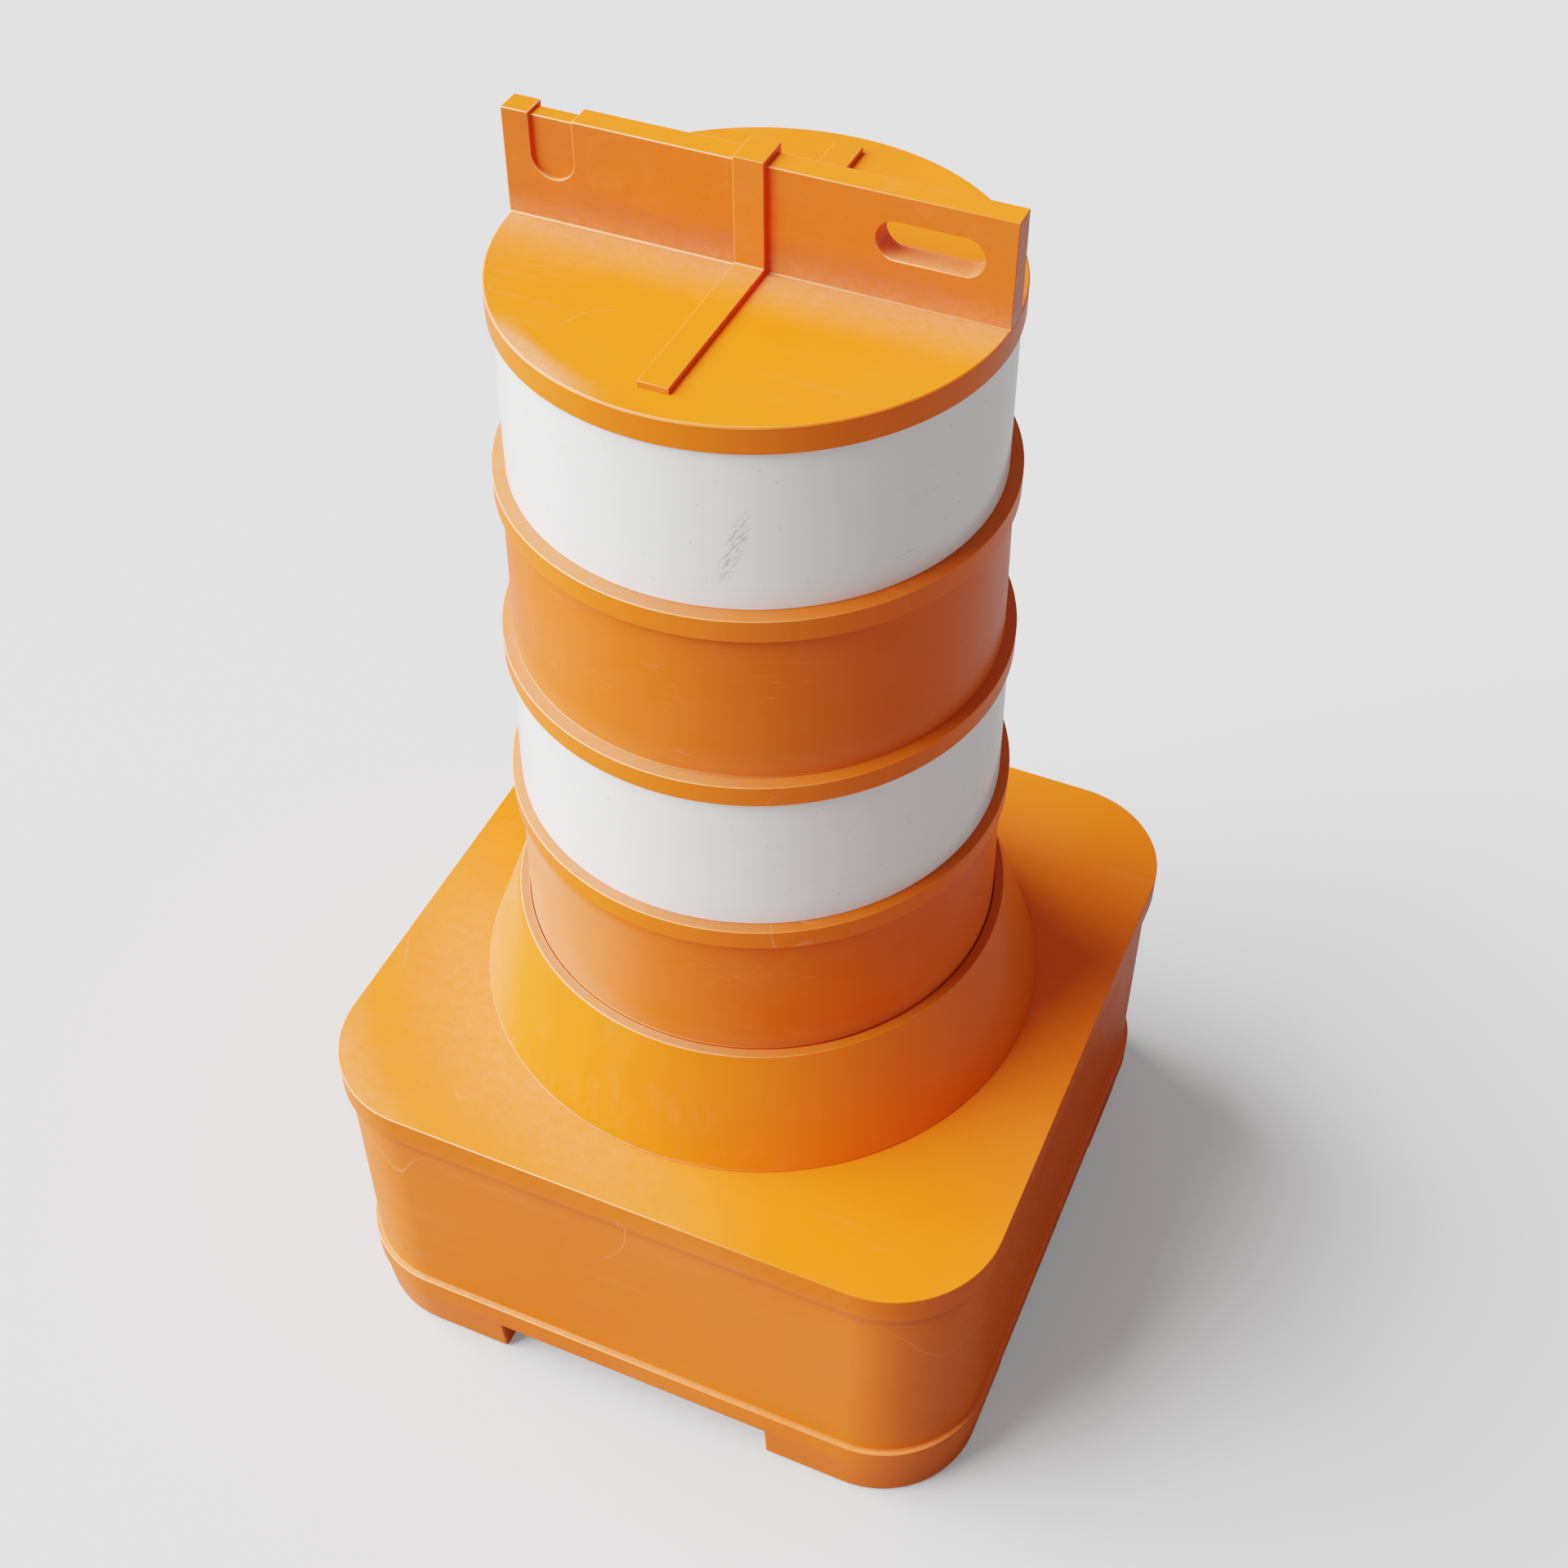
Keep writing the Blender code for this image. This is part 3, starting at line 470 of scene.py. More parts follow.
class Nodes:
    """A short way to write a node tree."""

    def __init__(self, name):
        self.material = bpy.data.materials.new(name)
        self.material.use_nodes = True
        self.tree = self.material.node_tree
        self.shader = self.tree.nodes["Principled BSDF"]
        coordinates = self.tree.nodes.new("ShaderNodeTexCoord")
        self.place = coordinates.outputs["Object"]

    def add(self, kind, inputs=None, **settings):
        """A new node with these inputs and settings."""
        node = self.tree.nodes.new(kind)
        for key, value in settings.items():
            setattr(node, key, value)
        for key, value in (inputs or {}).items():
            self.put(node.inputs[key], value)
        return node

    def put(self, socket, value):
        """Link another node's output to an input, or give it a plain value."""
        if isinstance(value, bpy.types.NodeSocket):
            self.tree.links.new(value, socket)
        else:
            socket.default_value = value

    def stretch(self, scale):
        """The place, scaled along each axis."""
        node = self.add("ShaderNodeMapping", {"Vector": self.place, "Scale": scale})
        return node.outputs["Vector"]

    def noise(self, scale, detail=3.0, rough=0.5, vector=None):
        """Smooth noise, mostly from 0.3 to 0.7."""
        node = self.add("ShaderNodeTexNoise", {
            "Vector": vector or self.place, "Scale": scale, "Detail": detail, "Roughness": rough})
        return node.outputs["Fac"]

    def ramp(self, value, low, high, start=0.0, end=1.0):
        """From start, where the value is low, smoothly to end, where it is high."""
        node = self.add("ShaderNodeMapRange", {
            "Value": value, "From Min": low, "From Max": high, "To Min": start, "To Max": end},
            interpolation_type="SMOOTHSTEP")
        return node.outputs["Result"]

    def math(self, operation, first, second=0.0):
        node = self.add("ShaderNodeMath", {0: first, 1: second}, operation=operation)
        return node.outputs["Value"]

    def times(self, first, *others):
        """The product of some values."""
        for other in others:
            first = self.math("MULTIPLY", first, other)
        return first

    def most(self, first, *others):
        """The largest of some values."""
        for other in others:
            first = self.math("MAXIMUM", first, other)
        return first

    def mix(self, factor, first, second):
        """The first colour where the factor is 0, and the second where it is 1."""
        node = self.add("ShaderNodeMix", data_type="RGBA")
        self.put(node.inputs[0], factor)
        self.put(node.inputs[6], first)
        self.put(node.inputs[7], second)
        return node.outputs[2]

    def wear_and_highlight(self):
        """How much this face is an edge painted pale, as a worn edge and as a painted highlight."""
        return self.add("ShaderNodeAttribute", attribute_name="wear_and_highlight").outputs["Fac"]

    def axis(self, name):
        """X, Y or Z of the place."""
        return self.add("ShaderNodeSeparateXYZ", {"Vector": self.place}).outputs[name]

    def along(self, name, low, high, start=0.0, end=1.0):
        """A ramp along X, Y or Z."""
        return self.ramp(self.axis(name), low, high, start, end)

    def radius(self):
        """Distance from the drum's axis."""
        flat = self.add("ShaderNodeVectorMath", {0: self.place, 1: (1.0, 1.0, 0.0)},
                        operation="MULTIPLY").outputs["Vector"]
        return self.add("ShaderNodeVectorMath", {0: flat}, operation="LENGTH").outputs["Value"]

    def ridges(self, scale, width):
        """Thin curved lines."""
        field = self.noise(scale, 2.0)
        away = self.math("ABSOLUTE", self.math("SUBTRACT", field, 0.5))
        return self.ramp(away, 0.0, width, 1.0, 0.0)

    def scratches(self, scale, width, strength, least=0.52):
        """Thin curved lines in a few patches; the higher least is, the fewer there are."""
        patches = self.ramp(self.noise(5.0), least, least + 0.12, 0.0, strength)
        return self.times(self.ridges(scale, width), patches)

    def upward(self):
        """1 where the surface faces up, 0 where it is a wall."""
        facing = self.add("ShaderNodeNewGeometry").outputs["Normal"]
        return self.add("ShaderNodeSeparateXYZ", {"Vector": facing}).outputs["Z"]

    def key_lit_side(self):
        """Painted light mask for pale edges and lines: fully on the left side, where the key light
        falls, not at all on the right.
        """
        return self.along("X", -0.14, 0.22, 1.0, 0.0)

    def bump(self, height, strength, distance, normal=None):
        """A bumpy normal, on top of another one if that is given."""
        inputs = {"Height": height, "Strength": strength, "Distance": distance}
        if normal is not None:
            inputs["Normal"] = normal
        return self.add("ShaderNodeBump", inputs).outputs["Normal"]

    def surface(self, colour, rough, normal=None, shine=None, metal=None):
        """Set the shader, and give the finished material; shine is the specular level."""
        chosen = {"Base Color": colour, "Roughness": rough, "Normal": normal,
                  "Specular IOR Level": shine, "Metallic": metal}
        for key, value in chosen.items():
            if value is not None:
                self.put(self.shader.inputs[key], value)
        return self.material


def rgb(red, green, blue):
    """An opaque colour."""
    return (red, green, blue, 1.0)


# Colours, shine, and how far some of the dust reaches
ORANGE = rgb(0.84, 0.104, 0.0022)
ORANGE_WARM = rgb(0.88, 0.121, 0.0030)
# pale dust; also the colour of painted sheen, painted highlight lines and painted bounce light
DUST_AND_PAINTED_LIGHT = rgb(0.76, 0.27, 0.14)
# dust on ledges, also painted as a pale sheen on the lit left
LEDGE_DUST_AND_SHEEN = rgb(0.38, 0.164, 0.085)
# dark dirt, also used as painted shade by the fin's foot and below the base's lip
GRIME_AND_SHADE = rgb(0.36, 0.075, 0.024)
# pale colour of worn edges, also used as their painted highlight
EDGE_PALE = rgb(1.0, 0.38, 0.16)
SHEET_ORANGE = rgb(0.76, 0.092, 0.0022)
WHITE = rgb(0.90, 0.885, 0.868)
GREY = rgb(0.24, 0.24, 0.25)
BLACK = rgb(0.0, 0.0, 0.0)
FLOOR_GREY = rgb(0.49, 0.49, 0.49)
FLOOR_LIGHT = rgb(0.50, 0.50, 0.50)
FLOOR_BOUNCE = rgb(0.17, 0.17, 0.17)   # what the floor gives back to the object
FLOOR_GLOW = 0.14         # lifts the shadow on the floor, as seen by the camera
PLASTIC_SHINE = 0.14      # specular level of the plastic
FIN_DUST_REACH = 0.085    # how far from the fin its dust lies on the lid
WALL_FILM_LOW = 0.10      # the pale film of dust and painted sheen on the base's walls starts at this height


def cloudy_plastic(n, brush, dust, shaded_wall_tone):
    """The plastic's own colour, under a thin brushed film of dust, with painted shade on its upright
    faces.
    """
    body = n.mix(n.ramp(n.noise(4.0, 4.0, 0.55), 0.3, 0.7), ORANGE, ORANGE_WARM)
    # painted shade: upright faces darker than level ones
    if shaded_wall_tone < 1.0:
        painted_wall_shade = n.mix(1.0 - shaded_wall_tone, body, BLACK)
        body = n.mix(n.ramp(n.upward(), 0.3, 0.8), painted_wall_shade, body)
    streaks = n.ramp(n.noise(1.0, 6.0, 0.65, n.stretch(brush)), 0.42, 0.78)
    patches = n.ramp(n.noise(9.0, 5.0, 0.6), 0.38, 0.75)
    veil = n.ramp(n.noise(2.2, 3.0), 0.42, 0.8, 0.0, dust * 0.9)
    return n.mix(n.most(n.times(streaks, patches, dust * 1.6), veil), body, DUST_AND_PAINTED_LIGHT)


def ledge_dust_sheen_and_shade(n, body, ledges, mottle):
    """Dust on level ledges, painted thickest on the lit left as a pale sheen, and painted shade that
    deepens to the right.
    """
    level = n.ramp(n.upward(), 0.85, 0.98)
    dust = n.along("X", -0.02, 0.20, ledges, 0.05 * ledges)
    body = n.mix(n.times(level, dust, mottle), body, LEDGE_DUST_AND_SHEEN)
    shade = n.along("X", -0.15, 0.15, 0.10, 0.26)
    return n.mix(n.times(level, shade), body, BLACK)


def worn_and_highlit_edges(n, body, wear_and_highlight, sideways):
    """Pale broken lines on worn edges, partly worn and partly painted highlight, strongest on the lit
    left.
    """
    broken = n.ramp(n.noise(30.0, 4.0, 0.6), 0.25, 0.62, 0.65 * wear_and_highlight, wear_and_highlight)
    facing = n.ramp(n.upward(), 0.05, 0.35, sideways, 1.0)
    return n.mix(n.times(n.wear_and_highlight(), broken, n.key_lit_side(), facing), body, EDGE_PALE)


def orange_plastic(name, brush, dust=0.08, ledges=0.0, haze=None, grime_and_shade=None, shaded_wall_tone=1.0,
                   wear_and_highlight=1.0, sideways=0.0, wall_shine=PLASTIC_SHINE):
    """Moulded orange polyethylene: cloudy colour, brushed dust, scratches, pale edges, grain, painted
    sheen and shade.

    brush stretches the dust streaks: small numbers along the streaks. dust is how much of it they
    hold, and ledges how much dust and painted sheen lie on level ledges. haze(n) gives a mask of where
    pale dust and painted sheen gather, grime_and_shade(n) one of where dark dirt and painted shade
    gather. shaded_wall_tone is painted shade that darkens the upright faces, and wall_shine is their
    specular level. wear_and_highlight is how pale the worn edges and their painted highlights are, and
    sideways how much of that there is on the ones that face sideways."""
    n = Nodes(name)
    body = cloudy_plastic(n, brush, dust, shaded_wall_tone)
    mottle = n.ramp(n.noise(110.0, 6.0, 0.75), 0.30, 0.70, 0.45, 1.0)
    # dark dirt and painted shade
    if grime_and_shade:
        body = n.mix(n.times(grime_and_shade(n), mottle), body, GRIME_AND_SHADE)
    if ledges:
        body = ledge_dust_sheen_and_shade(n, body, ledges, mottle)
    # pale dust and painted sheen
    if haze:
        body = n.mix(n.times(haze(n), mottle), body, DUST_AND_PAINTED_LIGHT)
    body = n.mix(n.scratches(3.2, 0.0019, 0.42), body, DUST_AND_PAINTED_LIGHT)
    body = worn_and_highlit_edges(n, body, wear_and_highlight, sideways)
    gloss = n.ramp(n.noise(7.0, 5.0, 0.6), 0.25, 0.75, 0.28, 0.42)
    shine = n.ramp(n.upward(), 0.3, 0.8, wall_shine, PLASTIC_SHINE)
    grain = n.bump(n.noise(900.0, 2.0), 0.06, 0.001)
    waves = n.bump(n.noise(22.0, 2.0), 0.05, 0.002, grain)
    return n.surface(body, gloss, waves, shine)


def from_fin(n, reach, most):
    """A mask on the lid that is thickest along the foot of the fin."""
    middle = (FIN_LOW.y + FIN_HIGH.y) / 2
    away = n.math("ABSOLUTE", n.math("SUBTRACT", n.axis("Y"), middle))
    return n.ramp(away, 0.004, reach, most, 0.0)


def lid_dust_and_sheen(n):
    """Dust along the foot of the fin, and a painted sheen on the lid's rim at the front left, where the
    key light falls.
    """
    rim = n.ramp(n.radius(), LID_HIGH.x - 0.024, LID_HIGH.x - 0.004, 0.0, 0.75)
    left = n.along("X", -0.10, -0.02, 1.0, 0.0)
    front = n.along("Y", -0.185, -0.145, 1.0, 0.0)
    haze = n.most(n.times(rim, left, front), from_fin(n, FIN_DUST_REACH, 0.42))
    return n.times(haze, n.ramp(n.upward(), 0.3, 0.9))


def lid_shade_by_fin(n):
    """Painted shade: a dark film close to the foot of the fin, where it meets the lid."""
    return from_fin(n, 0.050, 0.36)


def fin_haze(n):
    """A thin film of dust, thicker at the fin's foot and in its openings."""
    foot = n.along("Z", FIN_LOW.z, FIN_LOW.z + 0.026, 0.34, 0.07)
    walls = n.times(foot, n.ramp(n.upward(), 0.3, 0.8, 1.0, 0.0))
    below_top = n.along("Z", FIN_HIGH.z - 0.012, FIN_HIGH.z - 0.006, 1.0, 0.0)
    openings = n.times(n.ramp(n.upward(), 0.5, 0.9, 0.0, 0.38), below_top)
    return n.most(walls, openings)


def fin_dirt_and_shade(n):
    """Dark smears of dirt and painted shade in a band over the fin's foot, fading towards its ends."""
    low = n.along("Z", FIN_LOW.z + 0.002, FIN_LOW.z + 0.014, 0.2, 1.0)
    high = n.along("Z", FIN_LOW.z + 0.018, FIN_LOW.z + 0.046, 1.0, 0.0)
    middle = n.ramp(n.math("ABSOLUTE", n.axis("X")), 0.12, 0.23, 1.0, 0.2)
    smears = n.ramp(n.noise(1.0, 6.0, 0.7, n.stretch((18.0, 30.0, 60.0))), 0.3, 0.65, 0.45, 1.0)
    return n.times(low, high, middle, smears)


def strap_haze(n):
    """A thin film on the strap's upright faces, and the lid's dust on its level ones."""
    film = n.ramp(n.upward(), 0.3, 0.8, 0.10, 0.0)
    on_lid = n.along("Z", FIN_LOW.z + 0.012, FIN_LOW.z + 0.020, 1.0, 0.0)
    level = n.ramp(n.upward(), 0.3, 0.9)
    return n.most(film, n.times(from_fin(n, FIN_DUST_REACH, 0.34), level, on_lid))


def cone_sheen(n):
    """A painted sheen on the left of the cone, where the key light falls, and a pale painted highlight
    along its foot there.
    """
    clouds = n.ramp(n.noise(7.0, 3.0), 0.30, 0.62, 0.45, 1.0)
    left = n.along("X", -0.26, -0.175, 0.38, 0.0)
    below_top = n.along("Z", COLLAR_HIGH.z - 0.02, COLLAR_HIGH.z, 1.0, 0.0)
    foot = n.along("Z", COLLAR_LOW.z + 0.0018, COLLAR_LOW.z + 0.0034, 0.95, 0.0)
    return n.most(n.times(clouds, left, below_top), n.times(foot, n.key_lit_side()))


def low_sheet_sheen(n):
    """A painted sheen on the left of the lowest sheet, where the key light falls, thin at its upper
    edge.
    """
    clouds = n.ramp(n.noise(7.0, 3.0), 0.30, 0.62, 0.60, 1.0)
    left = n.along("X", -0.17, 0.02, 0.58, 0.0)
    below = n.along("Z", DRUM_SHEEN_TOP, DRUM_SHEEN_TOP + 0.02, 1.0, 0.0)
    return n.times(left, below, clouds)


def base_lip_shade(n):
    """Painted shade below the lip: a dark line on the wall, and a soft dark film that fades upwards from
    it.
    """
    line = SHELL_HIGH.z - LIP_HEIGHT - LIP_SHADE_DROP
    above = n.along("Z", line - 0.0045, line - 0.0020)
    crisp = n.along("Z", line + 0.0015, line + 0.0045, 0.46, 0.0)
    soft = n.along("Z", line, line + 0.030, 0.22, 0.0)
    return n.times(above, n.most(crisp, soft))


def base_top_dust_and_sheen(n):
    """Dust and painted sheen beside the foot of the cone, on the front left where the key light falls,
    and at the corner there, but little of it on the walls."""
    near = n.ramp(n.radius(), COLLAR_HIGH.x, COLLAR_HIGH.x + 0.13, 0.27, 0.06)
    corner = n.ramp(n.radius(), 0.41, 0.49, 0.0, 0.32)
    toward = n.math("ADD", n.times(n.axis("X"), 0.8), n.axis("Y"))
    side = n.ramp(toward, -0.42, -0.20, 1.0, 0.0)
    return n.times(n.most(near, corner), side, n.ramp(n.upward(), 0.0, 0.9, 0.15, 1.0))


def base_ledge_dust_and_sheen(n):
    """Dust on the ledge round the base's foot, painted thickest on the lit left as a sheen."""
    low = n.along("Z", TRAY_HIGH.z + 0.0022, TRAY_HIGH.z + 0.0026, 1.0, 0.0)
    level = n.ramp(n.upward(), 0.30, 0.60)
    return n.times(low, level, n.along("X", -0.30, 0.30, 0.55, 0.34))


def base_wall_dust_and_sheen(n):
    """A pale film of dust and painted sheen on the walls, thickening up to the lip and thinning on it;
    the shaded right wall has none.
    """
    lip_foot = SHELL_HIGH.z - LIP_HEIGHT
    film = n.along("Z", WALL_FILM_LOW, lip_foot, 0.0, 0.06)
    off_lip = n.along("Z", lip_foot, lip_foot + 0.018, 1.0, 0.15)
    off_right = n.along("X", 0.30, 0.36, 1.0, 0.0)
    return n.times(film, off_lip, off_right, n.ramp(n.upward(), 0.0, 0.3, 1.0, 0.0))


def base_dust_and_sheen(n):
    """All the dust and painted sheen on the base."""
    return n.most(base_top_dust_and_sheen(n), base_ledge_dust_and_sheen(n), base_wall_dust_and_sheen(n))


def rubbed_streak(n, low, high):
    """Short dark strokes in one narrow leaning streak, between a sheet's lower and upper edge."""
    across = radians(RUB_AZIMUTH)
    middle = low.z + (high.z - low.z) * RUB_HEIGHT
    along = n.add("ShaderNodeVectorMath", {0: n.place, 1: (cos(across), sin(across), 0.0)},
                  operation="DOT_PRODUCT").outputs["Value"]
    up = n.math("SUBTRACT", n.axis("Z"), middle)
    aside = n.math("SUBTRACT", along, n.times(up, RUB_LEAN))
    wide = n.math("DIVIDE", aside, RUB_HALF_WIDTH)
    tall = n.math("DIVIDE", up, RUB_HALF_HEIGHT)
    away = n.math("ADD", n.times(wide, wide), n.times(tall, tall))
    front = n.along("Y", -0.01, 0.0, 1.0, 0.0)
    stroke = n.add("ShaderNodeCombineXYZ", {
        "X": n.times(n.math("ADD", along, up), 70.0),
        "Y": n.times(n.math("SUBTRACT", along, up), 330.0)}).outputs["Vector"]
    strokes = n.ramp(n.noise(1.0, 3.0, 0.6, stroke), 0.46, 0.62)
    return n.times(n.ramp(away, 0.1, 1.0, 1.0, 0.0), front, strokes)


def sheeting(name, node, colour, scuff, shine, rough, foot_wear_and_highlight=0.0, rubbed=False, specks=0.0,
             side_bounce=0.0, haze=None):
    """Reflective sheeting: smooth, slightly mottled, with fine scuffs and short rub lines.

    scuff is their colour. foot_wear_and_highlight is how pale the lower edge is, worn and painted as a
    highlight on the lit left; rubbed adds the rubbed streak and specks is how dark the small dirt specks
    are. haze(n) gives a mask of where a pale painted sheen lies. The foot gets painted bounce light from
    the orange rim below, and side_bounce is how much painted bounce light the shaded right side gets."""
    n = Nodes(name)
    low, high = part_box(node)
    mottle = n.ramp(n.noise(18.0, 4.0, 0.6), 0.3, 0.7, 0.0, 0.04)
    body = n.mix(mottle, colour, scuff)
    # painted bounce light: warm at the sheet's foot and on its shaded right side
    foot_bounce_light = n.along("Z", low.z + 0.006, low.z + 0.032, 0.07 + side_bounce, 0.0)
    side_bounce_light = n.along("X", 0.0, 0.15, 0.0, side_bounce)
    body = n.mix(n.math("ADD", foot_bounce_light, side_bounce_light), body, DUST_AND_PAINTED_LIGHT)
    if specks:
        body = n.mix(n.ramp(n.noise(170.0, 1.0), 0.75, 0.80, 0.0, specks), body, scuff)
    if haze:
        body = n.mix(haze(n), body, DUST_AND_PAINTED_LIGHT)
    hatching = n.ramp(n.noise(1.0, vector=n.stretch((45.0, 45.0, 620.0))), 0.60, 0.72)
    patches = n.ramp(n.noise(11.0, 2.0), 0.56, 0.64, 0.0, 0.30)
    body = n.mix(n.times(hatching, patches), body, scuff)
    body = n.mix(n.scratches(16.0, 0.006, 0.14, least=0.57), body, scuff)
    if rubbed:
        body = n.mix(n.times(rubbed_streak(n, low, high), 0.80), body, scuff)
    # pale lower edge: worn, and a painted highlight on the lit left
    if foot_wear_and_highlight:
        foot = n.along("Z", low.z + 0.0010, low.z + 0.0022, foot_wear_and_highlight, 0.0)
        body = n.mix(n.times(foot, n.key_lit_side()), body, EDGE_PALE)
    gloss = n.ramp(n.noise(12.0, 4.0), 0.3, 0.7, rough, rough + 0.08)
    return n.surface(body, gloss, n.bump(n.noise(500.0, 2.0), 0.02, 0.001), shine)


def rubber(name, colour, grain_scale):
    """Matt rubber with a pebbled grain."""
    n = Nodes(name)
    lighter = rgb(*(channel * 2.2 for channel in colour))
    body = n.mix(n.ramp(n.noise(14.0, 5.0), 0.3, 0.75), rgb(*colour), lighter)
    gloss = n.ramp(n.noise(30.0), 0.3, 0.7, 0.75, 0.93)
    return n.surface(body, gloss, n.bump(n.noise(grain_scale, 3.0), 0.4, 0.001))


def zinc(name):
    """Zinc-plated steel: brushed, with cloudy passivation."""
    n = Nodes(name)
    body = n.mix(n.noise(120.0, 4.0), rgb(0.55, 0.56, 0.58), rgb(0.68, 0.66, 0.58))
    return n.surface(body, n.ramp(n.noise(300.0, 4.0), 0.3, 0.7, 0.22, 0.42), metal=1.0)


# ---- pieces

def place(piece, material, body, slot, *nodes):
    """Give a piece its material and body, and let it stand for its CAD nodes."""
    piece.data.materials.clear()
    piece.data.materials.append(material)
    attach(piece, body)
    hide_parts(*nodes)
    return piece


def round_piece(name, node, material, body, slot, radius=EDGE):
    """A fine copy of a round CAD node, with its edges rounded."""
    chain, closed = half_section(node)
    made = revolve(name, fillet(chain, closed, radius), closed)
    return place(made, material, body, slot, node)


def section_radii(node):
    """Where the vertices of a ring-shaped node lie, as sorted (radius, height) pairs."""
    return sorted({(round(hypot(v.x, v.y), 4), round(v.z, 4)) for v in node_vertices(node)})


def build_sheet(name, node, material, slot):
    """A strip of sheeting round one band, open at its butt joint at the back."""
    points = section_radii(node)
    top = max(z for _, z in points)
    low = min(z for _, z in points)
    upper = [r for r, z in points if abs(z - top) < SAME_LEVEL]
    lower = [r for r, z in points if abs(z - low) < SAME_LEVEL]
    outline = [(upper[0], top), (upper[-1], top), (lower[-1], low), (lower[0], low)]
    seam = min(abs(atan2(v.x, v.y)) for v in node_vertices(node) if v.y > 0)
    section = fillet(outline, radius=SHEET_EDGE)
    made = revolve(name, section, span=2 * pi - 2 * seam, start=pi / 2 + seam)
    return place(made, material, "drum", slot, node)


def build_shell(material):
    """The upper half of the base: its top, the lip round it, and the walls with a bead at their foot."""
    centre = corner_arc_centre("base_shell")
    low, high = SHELL_LOW.z, SHELL_HIGH.z
    lip = SHELL_HIGH.x
    lip_low = high - LIP_HEIGHT
    side = lip - LIP_STEP
    inside = side - SHELL_WALL
    ceiling = high - SHELL_WALL
    bead_low = TRAY_HIGH.z + GAP
    bead_high = TRAY_HIGH.z + BEAD_HEIGHT
    outline = [
        (side + WALL_FLARE, low),
        (side + WALL_FLARE, bead_low),
        (side + BEAD_OUT, bead_low),
        (side + WALL_FLARE, bead_high),
        (side, lip_low - LIP_SLOPE),
        (lip, lip_low),
        (lip, high),
        (lip - SHELL_CAP, high),
    ]
    bm = bmesh.new()
    outer = sweep_square(bm, fillet(outline, closed=False, radius=EDGE), centre)
    hidden = [(lip - SHELL_CAP, ceiling, False), (inside, ceiling, False), (inside, low, False)]
    inner = sweep_square(bm, hidden, centre)
    bm.faces.new(outer[-1])
    bm.faces.new(inner[0])
    join_rings(bm, outer[0], inner[-1], wear_layer(bm))
    return place(finish_mesh("base_shell_skin", bm), material, "base", "orange_plastic", "base_shell")


def build_tray(material):
    """The lower half of the base: a flange round a floor, on four feet between crossing channels."""
    centre = corner_arc_centre("base_tray")
    low, high = TRAY_LOW.z, TRAY_HIGH.z
    flange = TRAY_HIGH.x
    foot = flange - FOOT_TAPER
    inner_half = SHELL_HIGH.x - LIP_STEP + WALL_FLARE + GAP
    bm = bmesh.new()
    outline = [
        (foot, low, False),
        (flange - FOOT_KNEE_OUT, CHANNEL_TOP - FOOT_KNEE_DROP, False),
        (flange, FLANGE_LOW, False),
        (flange, high, False),
        (inner_half, high, False),
        (inner_half, FLOOR_TOP, False),
    ]
    rings = sweep_square(bm, outline, centre)
    bm.faces.new(rings[0])
    bm.faces.new(rings[-1])
    for reach_x, reach_y in ((CHANNEL_REACH, CHANNEL_HALF), (CHANNEL_HALF, CHANNEL_REACH)):
        channel = bmesh.new()
        box(channel, (-reach_x, -reach_y, -OVERSHOOT), (reach_x, reach_y, CHANNEL_TOP))
        cut(bm, channel)
    round_edges(bm, FOOT_EDGE, lambda edge: highest(edge) < CHANNEL_TOP + SAME_LEVEL)
    round_edges(bm, LEDGE_EDGE, lambda edge: lowest(edge) > high - SAME_LEVEL)
    for index in range(1, 5):
        node = f"foot_pad_{index}"
        cut_well(bm, node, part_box(node)[1].z + GAP, WELL_STEPS)
    for index in range(1, 9):
        node = f"tray_screw_{index}"
        cut_well(bm, node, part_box(node)[0].z + HEAD_WELL, HEAD_WELL_STEPS)
    return place(finish_mesh("base_tray_skin", bm), material, "base", "orange_plastic", "base_tray")


def build_foot_pad(name, node, material):
    """A round rubber pad with ring grooves in its sole."""
    low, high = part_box(node)
    middle = (low + high) / 2
    radius = (high.x - low.x) / 2
    outline = [(0.0, high.z), (radius, high.z), (radius, low.z)]
    spacing = (radius - PAD_RIM - PAD_CENTRE) / PAD_RINGS
    groove_top = low.z + GROOVE_DEPTH
    for ring in range(PAD_RINGS):
        outer = radius - PAD_RIM - ring * spacing
        inner = outer - GROOVE_WIDTH
        outline += [(outer, low.z), (outer - GROOVE_SLOPE, groove_top),
                    (inner + GROOVE_SLOPE, groove_top), (inner, low.z)]
    outline.append((0.0, low.z))
    section = fillet(outline, closed=False, radius=PAD_EDGE)
    made = revolve(name, section, closed=False, steps=PAD_STEPS)
    made.data.transform(Matrix.Translation((middle.x, middle.y, 0.0)))
    return place(made, material, "base", "black_rubber", node)


